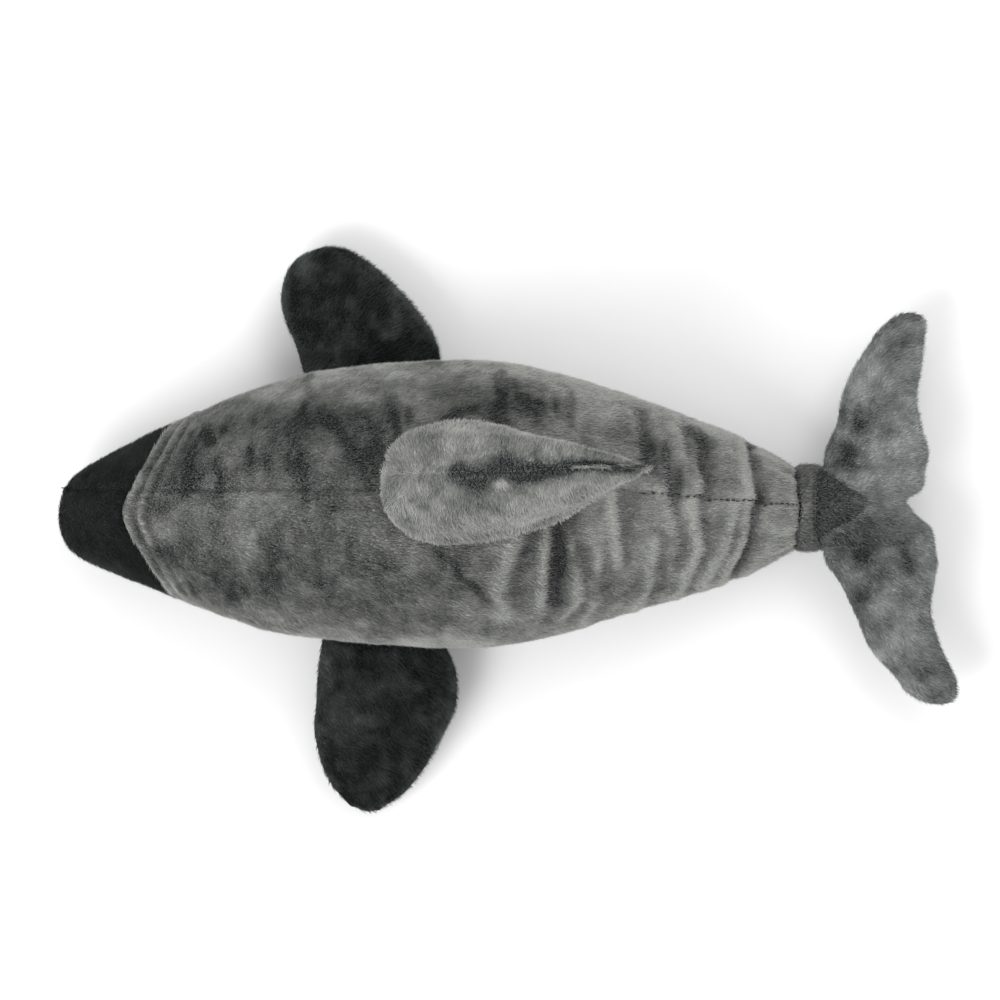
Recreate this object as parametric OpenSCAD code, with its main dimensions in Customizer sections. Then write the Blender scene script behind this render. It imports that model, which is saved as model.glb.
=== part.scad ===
// Stuffed plush shark lying on its belly.
// Millimetres. Nose towards -X, tail towards +X, up is +Z, its own right side is +Y.
// The origin is the centre of the flat patch of belly that it rests on.

/* [Body] */
// Length of the body from the nose tip to the ring seam ahead of the tail
body_l = 595; // [560:5:630]
// Width of the body at its widest
body_w = 229; // [215:1:240]
// Height of the stuffed body above the floor
body_h = 190; // [180:1:200]
// How far the back seam lies off the body's middle, as the body is rolled a little
seam_shift = 12; // [0:1:16]
// How far the body's middle bends sideways towards the nose and the tail
body_bow = 7; // [0:1:10]
// Thickness of the plush cloth with its pile
cloth_t = 3; // [2:0.5:4]

/* [Side fins] */
// Height of the line that the side fins hinge on
pectoral_z = 48; // [44:1:52]
// Distance of that line from the body's middle
pectoral_y = 112; // [110:0.5:118]
// Radius of the sewn root of a side fin
root_r = 8; // [7:0.5:9]
// How much a side fin droops for each millimetre outwards
fin_droop = 0.1; // [0.05:0.01:0.15]

/* [Back fin] */
// Height of the back fin above the back
dorsal_h = 90; // [75:1:95]
// Half width of the back fin where it is fattest
dorsal_half_w = 49; // [40:1:50]
// How far the tip of the back fin leans to the right
dorsal_lean = 17; // [0:1:20]

/* [Tail] */
// Height of the tail's middle above the floor
tail_z = 56; // [52:1:60]
// Length of the cuff between the two ring seams
cuff_l = 16.5; // [15:0.5:20]
// Half thickness of the fluke's two lobes
lobe_h = 15; // [12:0.5:18]
// How far the tips of the fluke hang below its middle
lobe_drop = 12; // [0:1:20]

/* [Eyes] */
// Radius of a dome eye
eye_r = 8; // [6:0.5:9]
// Height of the dome
eye_h = 4; // [4:0.5:7]
// Radius of the shank that holds the eye
shank_r = 2.4; // [2:0.1:3]
// Radius of the locking washer
washer_r = 9.5; // [8:0.5:10]
// How deep the eye's rim sits in the pile
eye_sink = 2; // [1:0.25:2]

/* [Stitches] */
// Radius of the sewing thread
thread_r = 0.6; // [0.4:0.1:0.8]
// Length of one stitch
stitch_l = 3.4; // [2.5:0.1:4]

/* [Hidden] */

nose_x = -306;            // nose tip
seam_gap = 0.2;           // half the gap left at a seam
filling_gap = 1.5;        // room between the cloth and the filling
stitch_lift = 0.25;       // stitches stand this far off the cloth
yaw_vee = tan(9.5);       // each end at the front ring seam slopes back this much
pitch_vee = tan(18);      // and at the rear ring seam this much
hinge_gap = 0.5;          // half the gap at each ring seam
far = 400;                // longer than any part

// Body rings from the nose back: share of the length, half width, top and floor side as shares.
body_table = [
    [0, 0, 0.305, 0.305],
    [0.0135, 0.22, 0.44, 0.19],
    [0.047, 0.36, 0.54, 0.115],
    [0.11, 0.51, 0.64, 0.05],
    [0.19, 0.68, 0.76, 0],
    [0.29, 0.865, 0.885, -0.05],
    [0.385, 0.95, 0.96, -0.065],
    [0.515, 1, 1, -0.065],
    [0.59, 0.995, 0.985, -0.065],
    [0.675, 0.905, 0.925, -0.06],
    [0.775, 0.75, 0.8, -0.03],
    [0.87, 0.59, 0.665, 0.03],
    [0.935, 0.455, 0.555, 0.09],
    [1, 0.29, 0.43, 0.16]];
// The ring before the first one is its mirror image, so that the nose comes out round.
body_rows = concat([mirrored(body_table[1])], body_table);
last_ring = len(body_table) - 1;
cap_ring = 0.06;          // the panels meet this close to the nose tip
grey_front = 2.7;         // ring where the grey back begins, at the back seam
grey_side = 0.85;         // it begins this many rings further back at the sides
tail_end_x = nose_x + body_l;
tail_y = body_middle(tail_end_x);
cuff_x = tail_end_x + 2 * hinge_gap;
fluke_x = cuff_x + cuff_l + 2 * hinge_gap;
cuff_half_w = 32.5;
cuff_half_h = 26;

function mirrored(row) = [row[0], -row[1], row[3], row[2]];

// ---- curves, grids and solids ----

// A smooth curve through the rows of a table; u = 1 is its second row.
function spline(t, u) =
    let (n = len(t) - 1, i = max(0, min(floor(u), n - 1)), f = u - i,
         b = t[i], c = t[i + 1],
         a = i > 0 ? t[i - 1] : 2 * b - c,
         d = i + 2 <= n ? t[i + 2] : 2 * c - b)
    0.5 * (2 * b + (c - a) * f + (2 * a - 5 * b + 4 * c - d) * f * f
           + (3 * b - a - 3 * c + d) * f * f * f);

function unit(v) = v / norm(v);
function mix(a, b, f) = a + (b - a) * f;
function mean(list) = list * [for (p = list) 1] / len(list);
function middle(points) = [for (k = [0:2]) mean([for (p = points) p[k]])];

// Steps from 0 to 1 that crowd together at both ends.
function eased(n) = [for (k = [0:n]) (1 - cos(180 * k / n)) / 2];
function even(n) = [for (k = [0:n]) k / n];

// Triangles of a grid with n rows of m points, the first point being number o.
function grid_faces(n, m, o) = [
    for (i = [0:n - 2]) for (j = [0:m - 2])
        let (a = o + i * m + j, c = a + m)
        each [[a, a + 1, c + 1], [a, c + 1, c]]];
function backwards(f) = [for (k = [len(f) - 1:-1:0]) f[k]];
function turned(faces) = [for (f = faces) backwards(f)];
// Two triangles of a wall between an edge a to b and the edge c to d behind it.
function wall(a, b, c, d) = [[b, a, c], [b, c, d]];

// A closed sheet of cloth between an outer and an inner grid of points.
module sheet(outer, inner) {
    n = len(outer);
    m = len(outer[0]);
    o = n * m;
    last = (n - 1) * m;
    faces = concat(
        grid_faces(n, m, 0),
        turned(grid_faces(n, m, o)),
        [for (j = [0:m - 2]) each wall(j, j + 1, o + j, o + j + 1)],
        [for (j = [0:m - 2]) each wall(last + j + 1, last + j, o + last + j + 1, o + last + j)],
        [for (i = [0:n - 2]) let (a = i * m, c = a + m) each wall(c, a, o + c, o + a)],
        [for (i = [0:n - 2]) let (b = i * m + m - 1, d = b + m) each wall(b, d, o + b, o + d)]);
    i = floor(n / 2);
    j = floor(m / 2);
    face = cross(outer[i][j + 1] - outer[i][j], outer[i + 1][j] - outer[i][j]);
    outwards = face * (outer[i][j] - inner[i][j]) > 0;
    polyhedron(concat([for (r = outer) each r], [for (r = inner) each r]),
               outwards ? turned(faces) : faces);
}

// A closed solid through rings of points, its two ends closed by fans.
module loft(rings) {
    n = len(rings);
    m = len(rings[0]);
    o = n * m;
    last = (n - 1) * m;
    round = concat(
        [for (i = [0:n - 2]) for (j = [0:m - 1])
            let (a = i * m + j, b = i * m + (j + 1) % m)
            each [[a, b, b + m], [a, b + m, a + m]]],
        [for (j = [0:m - 1]) [(j + 1) % m, j, o]],
        [for (j = [0:m - 1]) [last + j, last + (j + 1) % m, o + 1]]);
    i = floor(n / 2);
    face = cross(rings[i][1] - rings[i][0], rings[i + 1][0] - rings[i][0]);
    outwards = face * (rings[i][0] - middle(rings[i])) > 0;
    polyhedron(concat([for (r = rings) each r], [end_middle(rings[0]), end_middle(rings[n - 1])]),
               outwards ? turned(round) : round);
}
// Halfway between a ring's first point a quarter round and the one opposite.
function end_middle(ring) =
    let (q = len(ring) / 4) (ring[q] + ring[3 * q]) / 2;

// One stitch of thread from a towards b.
module stitch(a, b) {
    d = unit(b - a);
    translate((a + b) / 2)
        rotate([0, acos(d[2]), atan2(d[1], d[0])])
            cylinder(r = thread_r, h = stitch_l, center = true, $fn = 8);
}

// ---- body ----

function body_ring(u) =
    let (r = spline(body_rows, u + 1))
    [nose_x + r[0] * body_l, r[1] * body_w / 2, r[2] * body_h, r[3] * body_h];
function body_middle(x) = 1 - body_bow * (x < 20 ? 1.15 : 0.6) * pow((x - 20) / 300, 2);
// The floor-side point of a section sinks below the floor and the belly is cut flat there.
function body_point(u, a) =
    let (r = body_ring(u), y = r[1] * cos(a), slope = yaw_vee * max(0, u - last_ring + 1))
    [r[0] - slope * abs(y), body_middle(r[0]) + y, mix(r[3], r[2], (1 + sin(a)) / 2)];
function body_normal(u, a) =
    unit(cross(body_point(u, a + 2) - body_point(u, a - 2),
               body_point(u + 0.02, a) - body_point(u - 0.02, a)));
function body_skin(u, a, depth) = body_point(u, a) - depth * body_normal(u, a);
function above(p, z) = [p[0], p[1], max(p[2], z)];

// Angle of the side seam, which is where the side fins are sewn in.
function side_seam(u) = -22 + 14 * pow((body_ring(u)[0] + 40) / 300, 2);
// Angle of the back seam.
function back_seam(u) =
    let (r = body_ring(u), off = seam_shift * min(1, (tail_end_x - r[0]) / 150))
    acos((off - body_middle(r[0])) / r[1]);
// Ring where the grey back gives way to the dark snout, further back at the sides.
function colour_line(a) = grey_front + grey_side * pow(abs(cos(a)), 1.5);
function seam_angle(u) = seam_gap / body_ring(u)[1] * 180 / PI;

// The ring that an edge reaches at a share c of the way between two seams.
function edge_ring(edge, low, high, c) =
    let (first = edge(mix(low(3), high(3), c)),
         second = edge(mix(low(first), high(first), c)))
    edge(mix(low(second), high(second), c));
// A grid over the body between two edges and two seams, at a depth under the surface.
function body_grid(front, back, low, high, rows, columns, depth) = [
    for (s = even(rows)) [
        for (c = even(columns))
            let (u = mix(edge_ring(front, low, high, c), edge_ring(back, low, high, c), s),
                 pad = seam_angle(u))
            body_skin(u, mix(low(u) + pad, high(u) - pad, c), depth)]];

to_tail = function (a) last_ring;
to_colour_line = function (a) colour_line(a) - 0.012;
from_colour_line = function (a) colour_line(a) + 0.012;
from_nose = function (a) cap_ring;
right_side = function (u) side_seam(u);
back_line = function (u) back_seam(u);
left_side = function (u) 180 - side_seam(u);
right_side_again = function (u) 360 + side_seam(u);

module body_sheet(front, back, low, high, rows, columns) {
    sheet(body_grid(front, back, low, high, rows, columns, 0),
          body_grid(front, back, low, high, rows, columns, cloth_t));
}

eye_ring = 3.95;
eye_angle = -10;
function eye_angle_on(side) = side > 0 ? eye_angle : 180 - eye_angle;
// Moves what is drawn at the origin, pointing up, to stand on the body's surface.
module on_body(u, a) {
    n = body_normal(u, a);
    translate(body_point(u, a))
        rotate([0, acos(n[2]), atan2(n[1], n[0])])
            children();
}

module back_panel(side) {
    difference() {
        if (side > 0)
            body_sheet(from_colour_line, to_tail, right_side, back_line, 20, 9);
        else
            body_sheet(from_colour_line, to_tail, back_line, left_side, 20, 9);
        on_body(eye_ring, eye_angle_on(side)) {
            cylinder(r = shank_r + 0.4, h = 30, center = true, $fn = 32);
            translate([0, 0, -eye_sink]) cylinder(r = eye_r + 0.4, h = 10, $fn = 48);
        }
    }
}

module right_back_panel() {
    color([0.36, 0.37, 0.36]) back_panel(1);
}

module left_back_panel() {
    color([0.36, 0.37, 0.36]) back_panel(-1);
}

module belly_panel() {
    outer = body_grid(from_colour_line, to_tail, left_side, right_side_again, 20, 14, 0);
    inner = body_grid(from_colour_line, to_tail, left_side, right_side_again, 20, 14, cloth_t);
    color([0.55, 0.55, 0.53])
        intersection() {
            sheet(outer, [for (row = inner) [for (p = row) above(p, cloth_t)]]);
            translate([-far, -far, 0]) cube([2 * far, 2 * far, far]);
        }
}

module snout_top_panel() {
    color([0.15, 0.16, 0.16])
        body_sheet(from_nose, to_colour_line, right_side, left_side, 8, 12);
}

module snout_lower_panel() {
    color([0.15, 0.16, 0.16])
        body_sheet(from_nose, to_colour_line, left_side, right_side_again, 8, 10);
}

module body_filling() {
    depth = cloth_t + filling_gap;
    rings = [
        for (u = concat([0.15, 0.5], [for (u = [1:0.63:last_ring - 0.5]) u], [last_ring])) [
            for (k = [0:31]) above(body_skin(u, k * 360 / 32, depth), depth)]];
    color([0.95, 0.95, 0.93])
        difference() {
            loft(rings);
            for (side = [1, -1])
                on_body(eye_ring, eye_angle_on(side))
                    cylinder(r = washer_r + 1, h = 36, center = true, $fn = 48);
        }
}

// Coarse stitches that show along the rear of the back seam.
module back_seam_stitches() {
    color([0.1, 0.1, 0.1])
        for (u = [10.1:0.118:12.85])
            stitch(body_skin(u, back_seam(u), -thread_r - stitch_lift),
                   body_skin(u + 0.05, back_seam(u + 0.05), -thread_r - stitch_lift));
}

// A stitched mouth line that arches forwards under the snout.
mouth_ring = function (a) 2.25 - 0.75 * pow(abs(cos(a - 270)), 2);
module mouth_stitches() {
    color([0.08, 0.08, 0.08])
        for (a = [205:7:335])
            stitch(body_skin(mouth_ring(a), a, -thread_r - stitch_lift),
                   body_skin(mouth_ring(a + 3), a + 3, -thread_r - stitch_lift));
}

// The hand-sewn slit in the left side seam through which the body was filled.
module closing_stitches() {
    color([0.3, 0.3, 0.3])
        for (u = [9.2:0.1:10.6])
            stitch(body_skin(u, 180 - side_seam(u) - 1.5, -thread_r - stitch_lift),
                   body_skin(u + 0.02, 180 - side_seam(u) + 1.5, -thread_r - stitch_lift));
}

label_ring = 11.1;
label_w = 18;
label_h = 24;
label_t = 1;
// A blank tape that hangs from the left side seam near the tail.
module care_label() {
    p = body_point(label_ring, 180 - side_seam(label_ring));
    color([0.9, 0.9, 0.88])
        translate([p[0], p[1] - 1.5, p[2] - label_h / 2 - 2])
            rotate([0, 0, 16])
                cube([label_w, label_t, label_h], center = true);
}

// ---- eyes ----

module eye() {
    // The dome is part of a ball, as wide as eye_r where it meets the cloth.
    ball_r = (eye_r * eye_r + eye_h * eye_h) / (2 * eye_h);
    edge = asin(eye_r / ball_r);
    dome = [for (k = [0:12]) [ball_r * sin(edge * k / 12), eye_h - ball_r * (1 - cos(edge * k / 12))]];
    rotate_extrude($fn = 48)
        polygon(concat([[0, -14]], dome, [[shank_r, 0], [shank_r, -14]]));
}

module eye_on(side) {
    on_body(eye_ring, eye_angle_on(side)) translate([0, 0, 0.2 - eye_sink]) eye();
}

module right_eye() {
    color([0.03, 0.03, 0.03]) eye_on(1);
}

module left_eye() {
    color([0.03, 0.03, 0.03]) eye_on(-1);
}

washer_t = 2;
module washer_on(side) {
    on_body(eye_ring, eye_angle_on(side))
        translate([0, 0, -cloth_t - 1.4 - washer_t])
            difference() {
                cylinder(r = washer_r, h = washer_t, $fn = 48);
                translate([0, 0, -1]) cylinder(r = shank_r + 0.05, h = washer_t + 2, $fn = 48);
            }
}

module right_eye_washer() {
    color([0.85, 0.85, 0.83]) washer_on(1);
}

module left_eye_washer() {
    color([0.85, 0.85, 0.83]) washer_on(-1);
}

// ---- back fin ----

// Rings from the keel up: front end, rear end, half width and height as shares.
dorsal_table = [
    [-28, 98, 0.12, 0.035],
    [-38, 108, 0.6, 0.13],
    [-43, 116, 1, 0.3],
    [-38, 127, 0.94, 0.46],
    [-18, 146, 0.78, 0.66],
    [20, 157, 0.62, 0.83],
    [75, 163, 0.4, 0.94],
    [125, 166, 0.05, 1]];
dorsal_rings = len(dorsal_table) - 1;
dorsal_y = 13;
back_line_z = [for (u = [6:0.25:last_ring]) let (r = body_ring(u)) [r[0], r[2]]];
level_z = 186;
dorsal_columns = 12;

// Half width along the fin's length, blunt in front and pointed behind.
function leaf(s) = pow(sin(180 * pow(s, 0.7)), 0.6);
// A point of the right (side 1) or left (side -1) face, at a depth under the surface.
function dorsal_point(t, s, side, depth) =
    let (r = spline(dorsal_table, t),
         up = t / dorsal_rings,
         thin = 1 - depth / dorsal_half_w,
         x = mix(r[0] + depth, r[1] - 1.5 * depth, s),
         rise = depth + r[3] * dorsal_h * (1 - 2 * depth / dorsal_h))
    [x,
     dorsal_y + dorsal_lean * up + side * (seam_gap + dorsal_half_w * r[2] * thin * leaf(s)),
     mix(lookup(x, back_line_z), level_z, up) + rise];

module dorsal_sheet(side) {
    sheet([for (t = even(14)) [for (s = eased(dorsal_columns)) dorsal_point(t * dorsal_rings, s, side, 0)]],
          [for (t = even(14)) [for (s = eased(dorsal_columns)) dorsal_point(t * dorsal_rings, s, side, cloth_t)]]);
}

module dorsal_right_panel() {
    color([0.5, 0.51, 0.5]) dorsal_sheet(1);
}

module dorsal_left_panel() {
    color([0.5, 0.51, 0.5]) dorsal_sheet(-1);
}

module dorsal_filling() {
    depth = cloth_t + filling_gap;
    steps = eased(dorsal_columns);
    color([0.95, 0.95, 0.93])
        loft([for (t = even(14)) concat(
            [for (k = [0:dorsal_columns - 1]) dorsal_point(t * dorsal_rings, steps[k], 1, depth)],
            [for (k = [dorsal_columns:-1:1]) dorsal_point(t * dorsal_rings, steps[k], -1, depth)])]);
}

// ---- side fins ----

// Rings from the sewn root outwards: distance out, front edge, rear edge, half thickness.
right_pectoral_table = [
    [-root_r, -50, 50, 0.2],
    [-0.7 * root_r, -51, 52, 4.3],
    [0, -52, 56, 6.6],
    [20, -58, 50, 11],
    [40, -65, 38, 14],
    [60, -69, 22, 13.5],
    [80, -65, 2, 10],
    [90, -57, -11, 7],
    [95, -47, -20, 4.5],
    [98, -37, -29, 1.5]];
left_pectoral_table = [
    [-root_r, -48, 46, 0.2],
    [-0.7 * root_r, -49, 47, 4.3],
    [0, -50, 49, 6.6],
    [20, -53, 55, 11],
    [45, -55, 54, 15],
    [70, -55, 44, 15],
    [95, -50, 30, 12.5],
    [114, -42, 16, 9],
    [126, -32, 4, 6],
    [132, -23, -5, 4],
    [135, -16, -11, 1.5]];
right_pectoral_x = -57;
left_pectoral_x = -44;
right_hinge_turn = 0.1;   // sideways run of the hinge line for each millimetre along the body
left_hinge_turn = 0.07;
rim = 1.4;                // thickness of a fin's cloth at its seam
cloth_share = 0.78;       // share of a fin's half thickness that lies under the cloth

// A point of a side fin: along its rings, across from front to rear, upper or under face.
function fin_point(table, t, c, face, share, edge) =
    let (r = spline(table, t), out = r[0], full = pow(max(0, 1 - c * c), 0.45))
    [mix(r[1], r[2], (1 + c) / 2), out,
     face * (seam_gap + edge + share * r[3] * full)
     - fin_droop * max(0, out) - 0.0006 * pow(max(0, out), 2)];
function spread(n) = [for (k = [0:n]) -cos(180 * k / n)];

// Puts a fin drawn along its hinge line onto the body's right or left.
function place_fin(p, side) =
    let (x0 = side > 0 ? right_pectoral_x : left_pectoral_x,
         turn = side > 0 ? right_hinge_turn : left_hinge_turn)
    [x0 + p[0], side * (pectoral_y + turn * p[0] + p[1]), pectoral_z + p[2]];
function fin_table(side) = side > 0 ? right_pectoral_table : left_pectoral_table;
function fin_grid(side, face, share, edge) =
    let (t = fin_table(side))
    [for (k = [0:18]) [
        for (c = spread(10)) place_fin(fin_point(t, k * (len(t) - 1) / 18, c, face, share, edge), side)]];

module fin_sheet(side, face) {
    sheet(fin_grid(side, face, 1, rim), fin_grid(side, face, cloth_share, 0));
}

module fin_filling(side) {
    t = fin_table(side);
    top = len(t) - 1;
    color([0.95, 0.95, 0.93])
        loft([for (k = [3:17]) concat(
            [for (c = [-0.9:0.18:0.9])
                place_fin(fin_point(t, k * top / 18, c, 1, 0.9 * cloth_share, -0.8), side)],
            [for (c = [0.9:-0.18:-0.9])
                place_fin(fin_point(t, k * top / 18, c, -1, 0.9 * cloth_share, -0.8), side)])]);
}

module right_pectoral_top() {
    color([0.12, 0.13, 0.13]) fin_sheet(1, 1);
}

module right_pectoral_bottom() {
    color([0.12, 0.13, 0.13]) fin_sheet(1, -1);
}

module right_pectoral_filling() {
    fin_filling(1);
}

module left_pectoral_top() {
    color([0.14, 0.15, 0.15]) fin_sheet(-1, 1);
}

module left_pectoral_bottom() {
    color([0.14, 0.15, 0.15]) fin_sheet(-1, -1);
}

module left_pectoral_filling() {
    fin_filling(-1);
}

// ---- tail cuff ----

// A point of the cuff, whose ends slope so that each ring seam can fold.
function cuff_point(s, a, depth) =
    let (swell = 1 + 0.05 * sin(180 * s),
         y = (cuff_half_w * swell - depth) * cos(a),
         z = (cuff_half_h * swell - depth) * sin(a))
    [mix(cuff_x + yaw_vee * abs(y), cuff_x + cuff_l - pitch_vee * abs(z), s), tail_y + y, tail_z + z];

// The band is one strip whose own join is at the bottom.
module tail_cuff_band() {
    color([0.33, 0.34, 0.34])
        sheet([for (s = even(4)) [for (c = even(36)) cuff_point(s, mix(-89.5, 269.5, c), 0)]],
              [for (s = even(4)) [for (c = even(36)) cuff_point(s, mix(-89.5, 269.5, c), cloth_t)]]);
}

module cuff_filling() {
    color([0.95, 0.95, 0.93])
        loft([for (s = even(3)) [for (k = [0:31]) cuff_point(s, k * 360 / 32, cloth_t + 0.6)]]);
}

// ---- fluke ----

// Rings from the left tip to the right tip: sideways place, front edge, rear edge, half thickness.
// Places along X are measured back from the rear ring seam.
fluke_table = [
    [-157, 88, 94, 1],
    [-154, 79, 103, 4],
    [-147, 68, 106, 7],
    [-134, 57, 103, 10],
    [-110, 38, 93, 13],
    [-84, 25, 85, 15],
    [-60, 13, 87, 15],
    [-45, 3, 89, 13],
    [-34, 0, 88, 10],
    [-18, 0, 85, 9],
    [-6, 0, 73, 8],
    [6, 0, 65, 8],
    [16, 0, 77, 9],
    [30, 0, 80, 10],
    [46, 2, 82, 13],
    [66, 10, 77, 15],
    [88, 15, 74, 15],
    [110, 24, 77, 13],
    [134, 39, 80, 10],
    [147, 51, 81, 7],
    [153, 59, 78, 4],
    [156, 66, 72, 1]];
fluke_rings = len(fluke_table) - 1;
notch_ring = 11;          // the ring at the notch between the lobes
gusset_first = 8.2;       // rings between which the gusset lies
gusset_last = 13.2;
gusset_l = 36;
gusset_w = 31;
root_half_w = 33;
root_half_h = 24;
fluke_fill = 0.66 * cloth_share;  // thickness of the filling, as a share of the skin's

// Where the gusset's edge lies for a sideways place: it narrows from the ring seam to a point.
function gusset_edge(y) = max(1, gusset_l * (1 - abs(y - 4) / gusset_w));
// A point of the fluke on its upper or under face.
function fluke_point(v, x, face, share, edge) =
    let (r = spline(fluke_table, v),
         c = max(-1, min(1, 2 * (x - r[1]) / (r[2] - r[1]) - 1)),
         root = root_half_h * sqrt(max(0, 1 - pow(r[0] / root_half_w, 2))) * pow((1 - c) / 2, 1.5),
         high = seam_gap + edge + share * (lobe_h / 15 * r[3] * pow(max(0, 1 - c * c), 0.45) + root))
    [fluke_x + x + pitch_vee * high * pow((1 - c) / 2, 4), tail_y + r[0],
     tail_z - lobe_drop * pow(r[0] / 156, 2) + face * high];
function fluke_front(v) = spline(fluke_table, v)[1];
function fluke_rear(v) = spline(fluke_table, v)[2];
function fluke_grid(first, last, rows, from, to, columns, face, share, edge) = [
    for (k = even(rows)) let (v = mix(first, last, k)) [
        for (s = eased(columns)) fluke_point(v, mix(from(v), to(v), s), face, share, edge)]];

module fluke_sheet(first, last, rows, from, to, columns, face) {
    sheet(fluke_grid(first, last, rows, from, to, columns, face, 1, rim),
          fluke_grid(first, last, rows, from, to, columns, face, cloth_share, 0));
}

behind_gusset = function (v)
    v > gusset_first && v < gusset_last
        ? max(fluke_front(v), gusset_edge(spline(fluke_table, v)[0]) + 10 * seam_gap)
        : fluke_front(v);
before_lobes = function (v) gusset_edge(spline(fluke_table, v)[0]);
at_front = function (v) fluke_front(v);
at_rear = function (v) fluke_rear(v);

module right_fluke_top() {
    color([0.4, 0.41, 0.41])
        fluke_sheet(notch_ring + 0.02, fluke_rings, 22, behind_gusset, at_rear, 10, 1);
}

module left_fluke_top() {
    color([0.4, 0.41, 0.41])
        fluke_sheet(0, notch_ring - 0.02, 22, behind_gusset, at_rear, 10, 1);
}

module fluke_bottom() {
    color([0.4, 0.41, 0.41])
        fluke_sheet(0, fluke_rings, 42, at_front, at_rear, 10, -1);
}

module fluke_gusset() {
    color([0.25, 0.26, 0.26])
        fluke_sheet(gusset_first + 0.3, gusset_last - 0.3, 14, at_front, before_lobes, 5, 1);
}

module fluke_filling() {
    color([0.95, 0.95, 0.93])
        loft([for (k = [1:41]) let (v = k * fluke_rings / 42, a = fluke_front(v), b = fluke_rear(v)) concat(
            [for (s = [0.06:0.088:0.95]) fluke_point(v, mix(a, b, s), 1, fluke_fill, -1)],
            [for (s = [0.94:-0.088:0.05]) fluke_point(v, mix(a, b, s), -1, fluke_fill, -1)])]);
}

right_back_panel();
left_back_panel();
belly_panel();
snout_top_panel();
snout_lower_panel();
body_filling();
back_seam_stitches();
mouth_stitches();
closing_stitches();
care_label();
right_eye();
left_eye();
right_eye_washer();
left_eye_washer();
dorsal_right_panel();
dorsal_left_panel();
dorsal_filling();
right_pectoral_top();
right_pectoral_bottom();
right_pectoral_filling();
left_pectoral_top();
left_pectoral_bottom();
left_pectoral_filling();
tail_cuff_band();
cuff_filling();
right_fluke_top();
left_fluke_top();
fluke_bottom();
fluke_gusset();
fluke_filling();
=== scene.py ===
import bpy
import numpy as np
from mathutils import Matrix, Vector


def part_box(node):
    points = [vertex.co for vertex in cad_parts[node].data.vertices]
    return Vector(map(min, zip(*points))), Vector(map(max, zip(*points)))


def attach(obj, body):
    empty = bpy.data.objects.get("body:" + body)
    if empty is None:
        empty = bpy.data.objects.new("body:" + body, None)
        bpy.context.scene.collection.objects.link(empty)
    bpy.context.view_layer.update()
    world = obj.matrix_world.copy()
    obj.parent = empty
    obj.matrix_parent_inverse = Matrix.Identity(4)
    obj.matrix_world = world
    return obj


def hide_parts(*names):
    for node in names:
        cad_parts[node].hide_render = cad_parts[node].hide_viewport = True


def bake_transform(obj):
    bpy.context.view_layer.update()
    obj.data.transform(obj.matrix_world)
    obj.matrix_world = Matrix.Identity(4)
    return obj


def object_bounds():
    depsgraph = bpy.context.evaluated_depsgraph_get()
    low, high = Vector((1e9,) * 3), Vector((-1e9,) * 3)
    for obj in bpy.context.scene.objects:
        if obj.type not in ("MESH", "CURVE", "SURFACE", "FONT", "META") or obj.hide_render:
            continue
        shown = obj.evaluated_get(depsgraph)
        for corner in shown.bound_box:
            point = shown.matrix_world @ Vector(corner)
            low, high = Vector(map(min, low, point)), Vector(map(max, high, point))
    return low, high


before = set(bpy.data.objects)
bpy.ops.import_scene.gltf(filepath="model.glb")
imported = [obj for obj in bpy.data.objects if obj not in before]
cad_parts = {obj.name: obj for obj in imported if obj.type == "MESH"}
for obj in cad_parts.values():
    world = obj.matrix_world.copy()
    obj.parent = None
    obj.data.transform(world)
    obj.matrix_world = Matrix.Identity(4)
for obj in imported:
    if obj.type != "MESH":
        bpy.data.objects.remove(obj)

bl_info = {
    "name": "Plush Shark",
    "version": (1, 0, 0),
    "blender": (4, 5, 0),
    "location": "3D Viewport > Sidebar > Plush Shark",
    "description": "Cloth, pile, stuffing, thread and eyes of a plush shark, built on its packed frame",
    "category": "Add Mesh",
}

MM = 0.001
CAD_BOX = [[float(c) for c in corner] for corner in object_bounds()]
FORMS = {}      # forms and finishes that one operator makes and a later one uses

# ---------------------------------------------------------------- sizes that follow the frame, in millimetres

BODY_L, BODY_W, BODY_H = 595.0, 229.0, 190.0
NOSE_X, LAST_RING = -306.0, 13.0
TAIL_END_X = NOSE_X + BODY_L
CUFF_X, CUFF_L = 290.0, 16.5
CUFF_HALF_W, CUFF_HALF_H = 32.5, 26.0
FLUKE_X, TAIL_Z = 307.5, 56.0
YAW_VEE, PITCH_VEE = np.tan(np.radians(9.5)), np.tan(np.radians(18.0))
BODY_END_HALF_W, BODY_END_HALF_H = 33.2, 25.7
CLOTH_T, THIN_CLOTH_T = 3.0, 1.6            # body, back fin and cuff; side fins and fluke
BODY_SWELL, FIN_SWELL = 5.0, 4.0            # the furthest a cloth run may move a point
NOSE_MIDDLE = (-262.0, -7.0, 58.0)
EYE_R, EYE_DOME = 8.0, 4.0
PILE_ROOM = 1.7         # the cloth lies this far inside the outline, which the pile then fills
BELLY_LIFT = 0.9
PILE_LIFT = 0.15        # the lowest that a tuft may hang over the floor
TONES = 7               # tones of pile in one plush
FIN_SEAM_Y, FIN_Z = 112, 48
FIN_SET = {1: (-57, 0.1), -1: (-44, 0.07)}  # by side: middle of a fin's root along the body, and its turn
FLUKE_ROOT_H, FLUKE_ROOT_HALF_W = 24, 33
FLUKE_HALF_W, FLUKE_DROOP = 156, 12
GUSSET_L, GUSSET_HALF_W, GUSSET_Y = 36, 31, 4
COARSE_ROWS, COARSE_ACROSS = 70, 24         # of the fluke's cloth run
STITCH_L, STITCH_R, STITCH_SIDES = 3.6, 0.65, 10
BACK_STITCHES = (10.1, 12.86, 0.118)        # first ring, where to stop, and step
CLOSING_STITCHES = (9.2, 10.61, 0.1)
MOUTH_STITCHES = (205, 336, 7.0)            # the same in degrees round the snout
FLOOR_REACH, FLOOR_POINTS = 4000, 9
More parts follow.
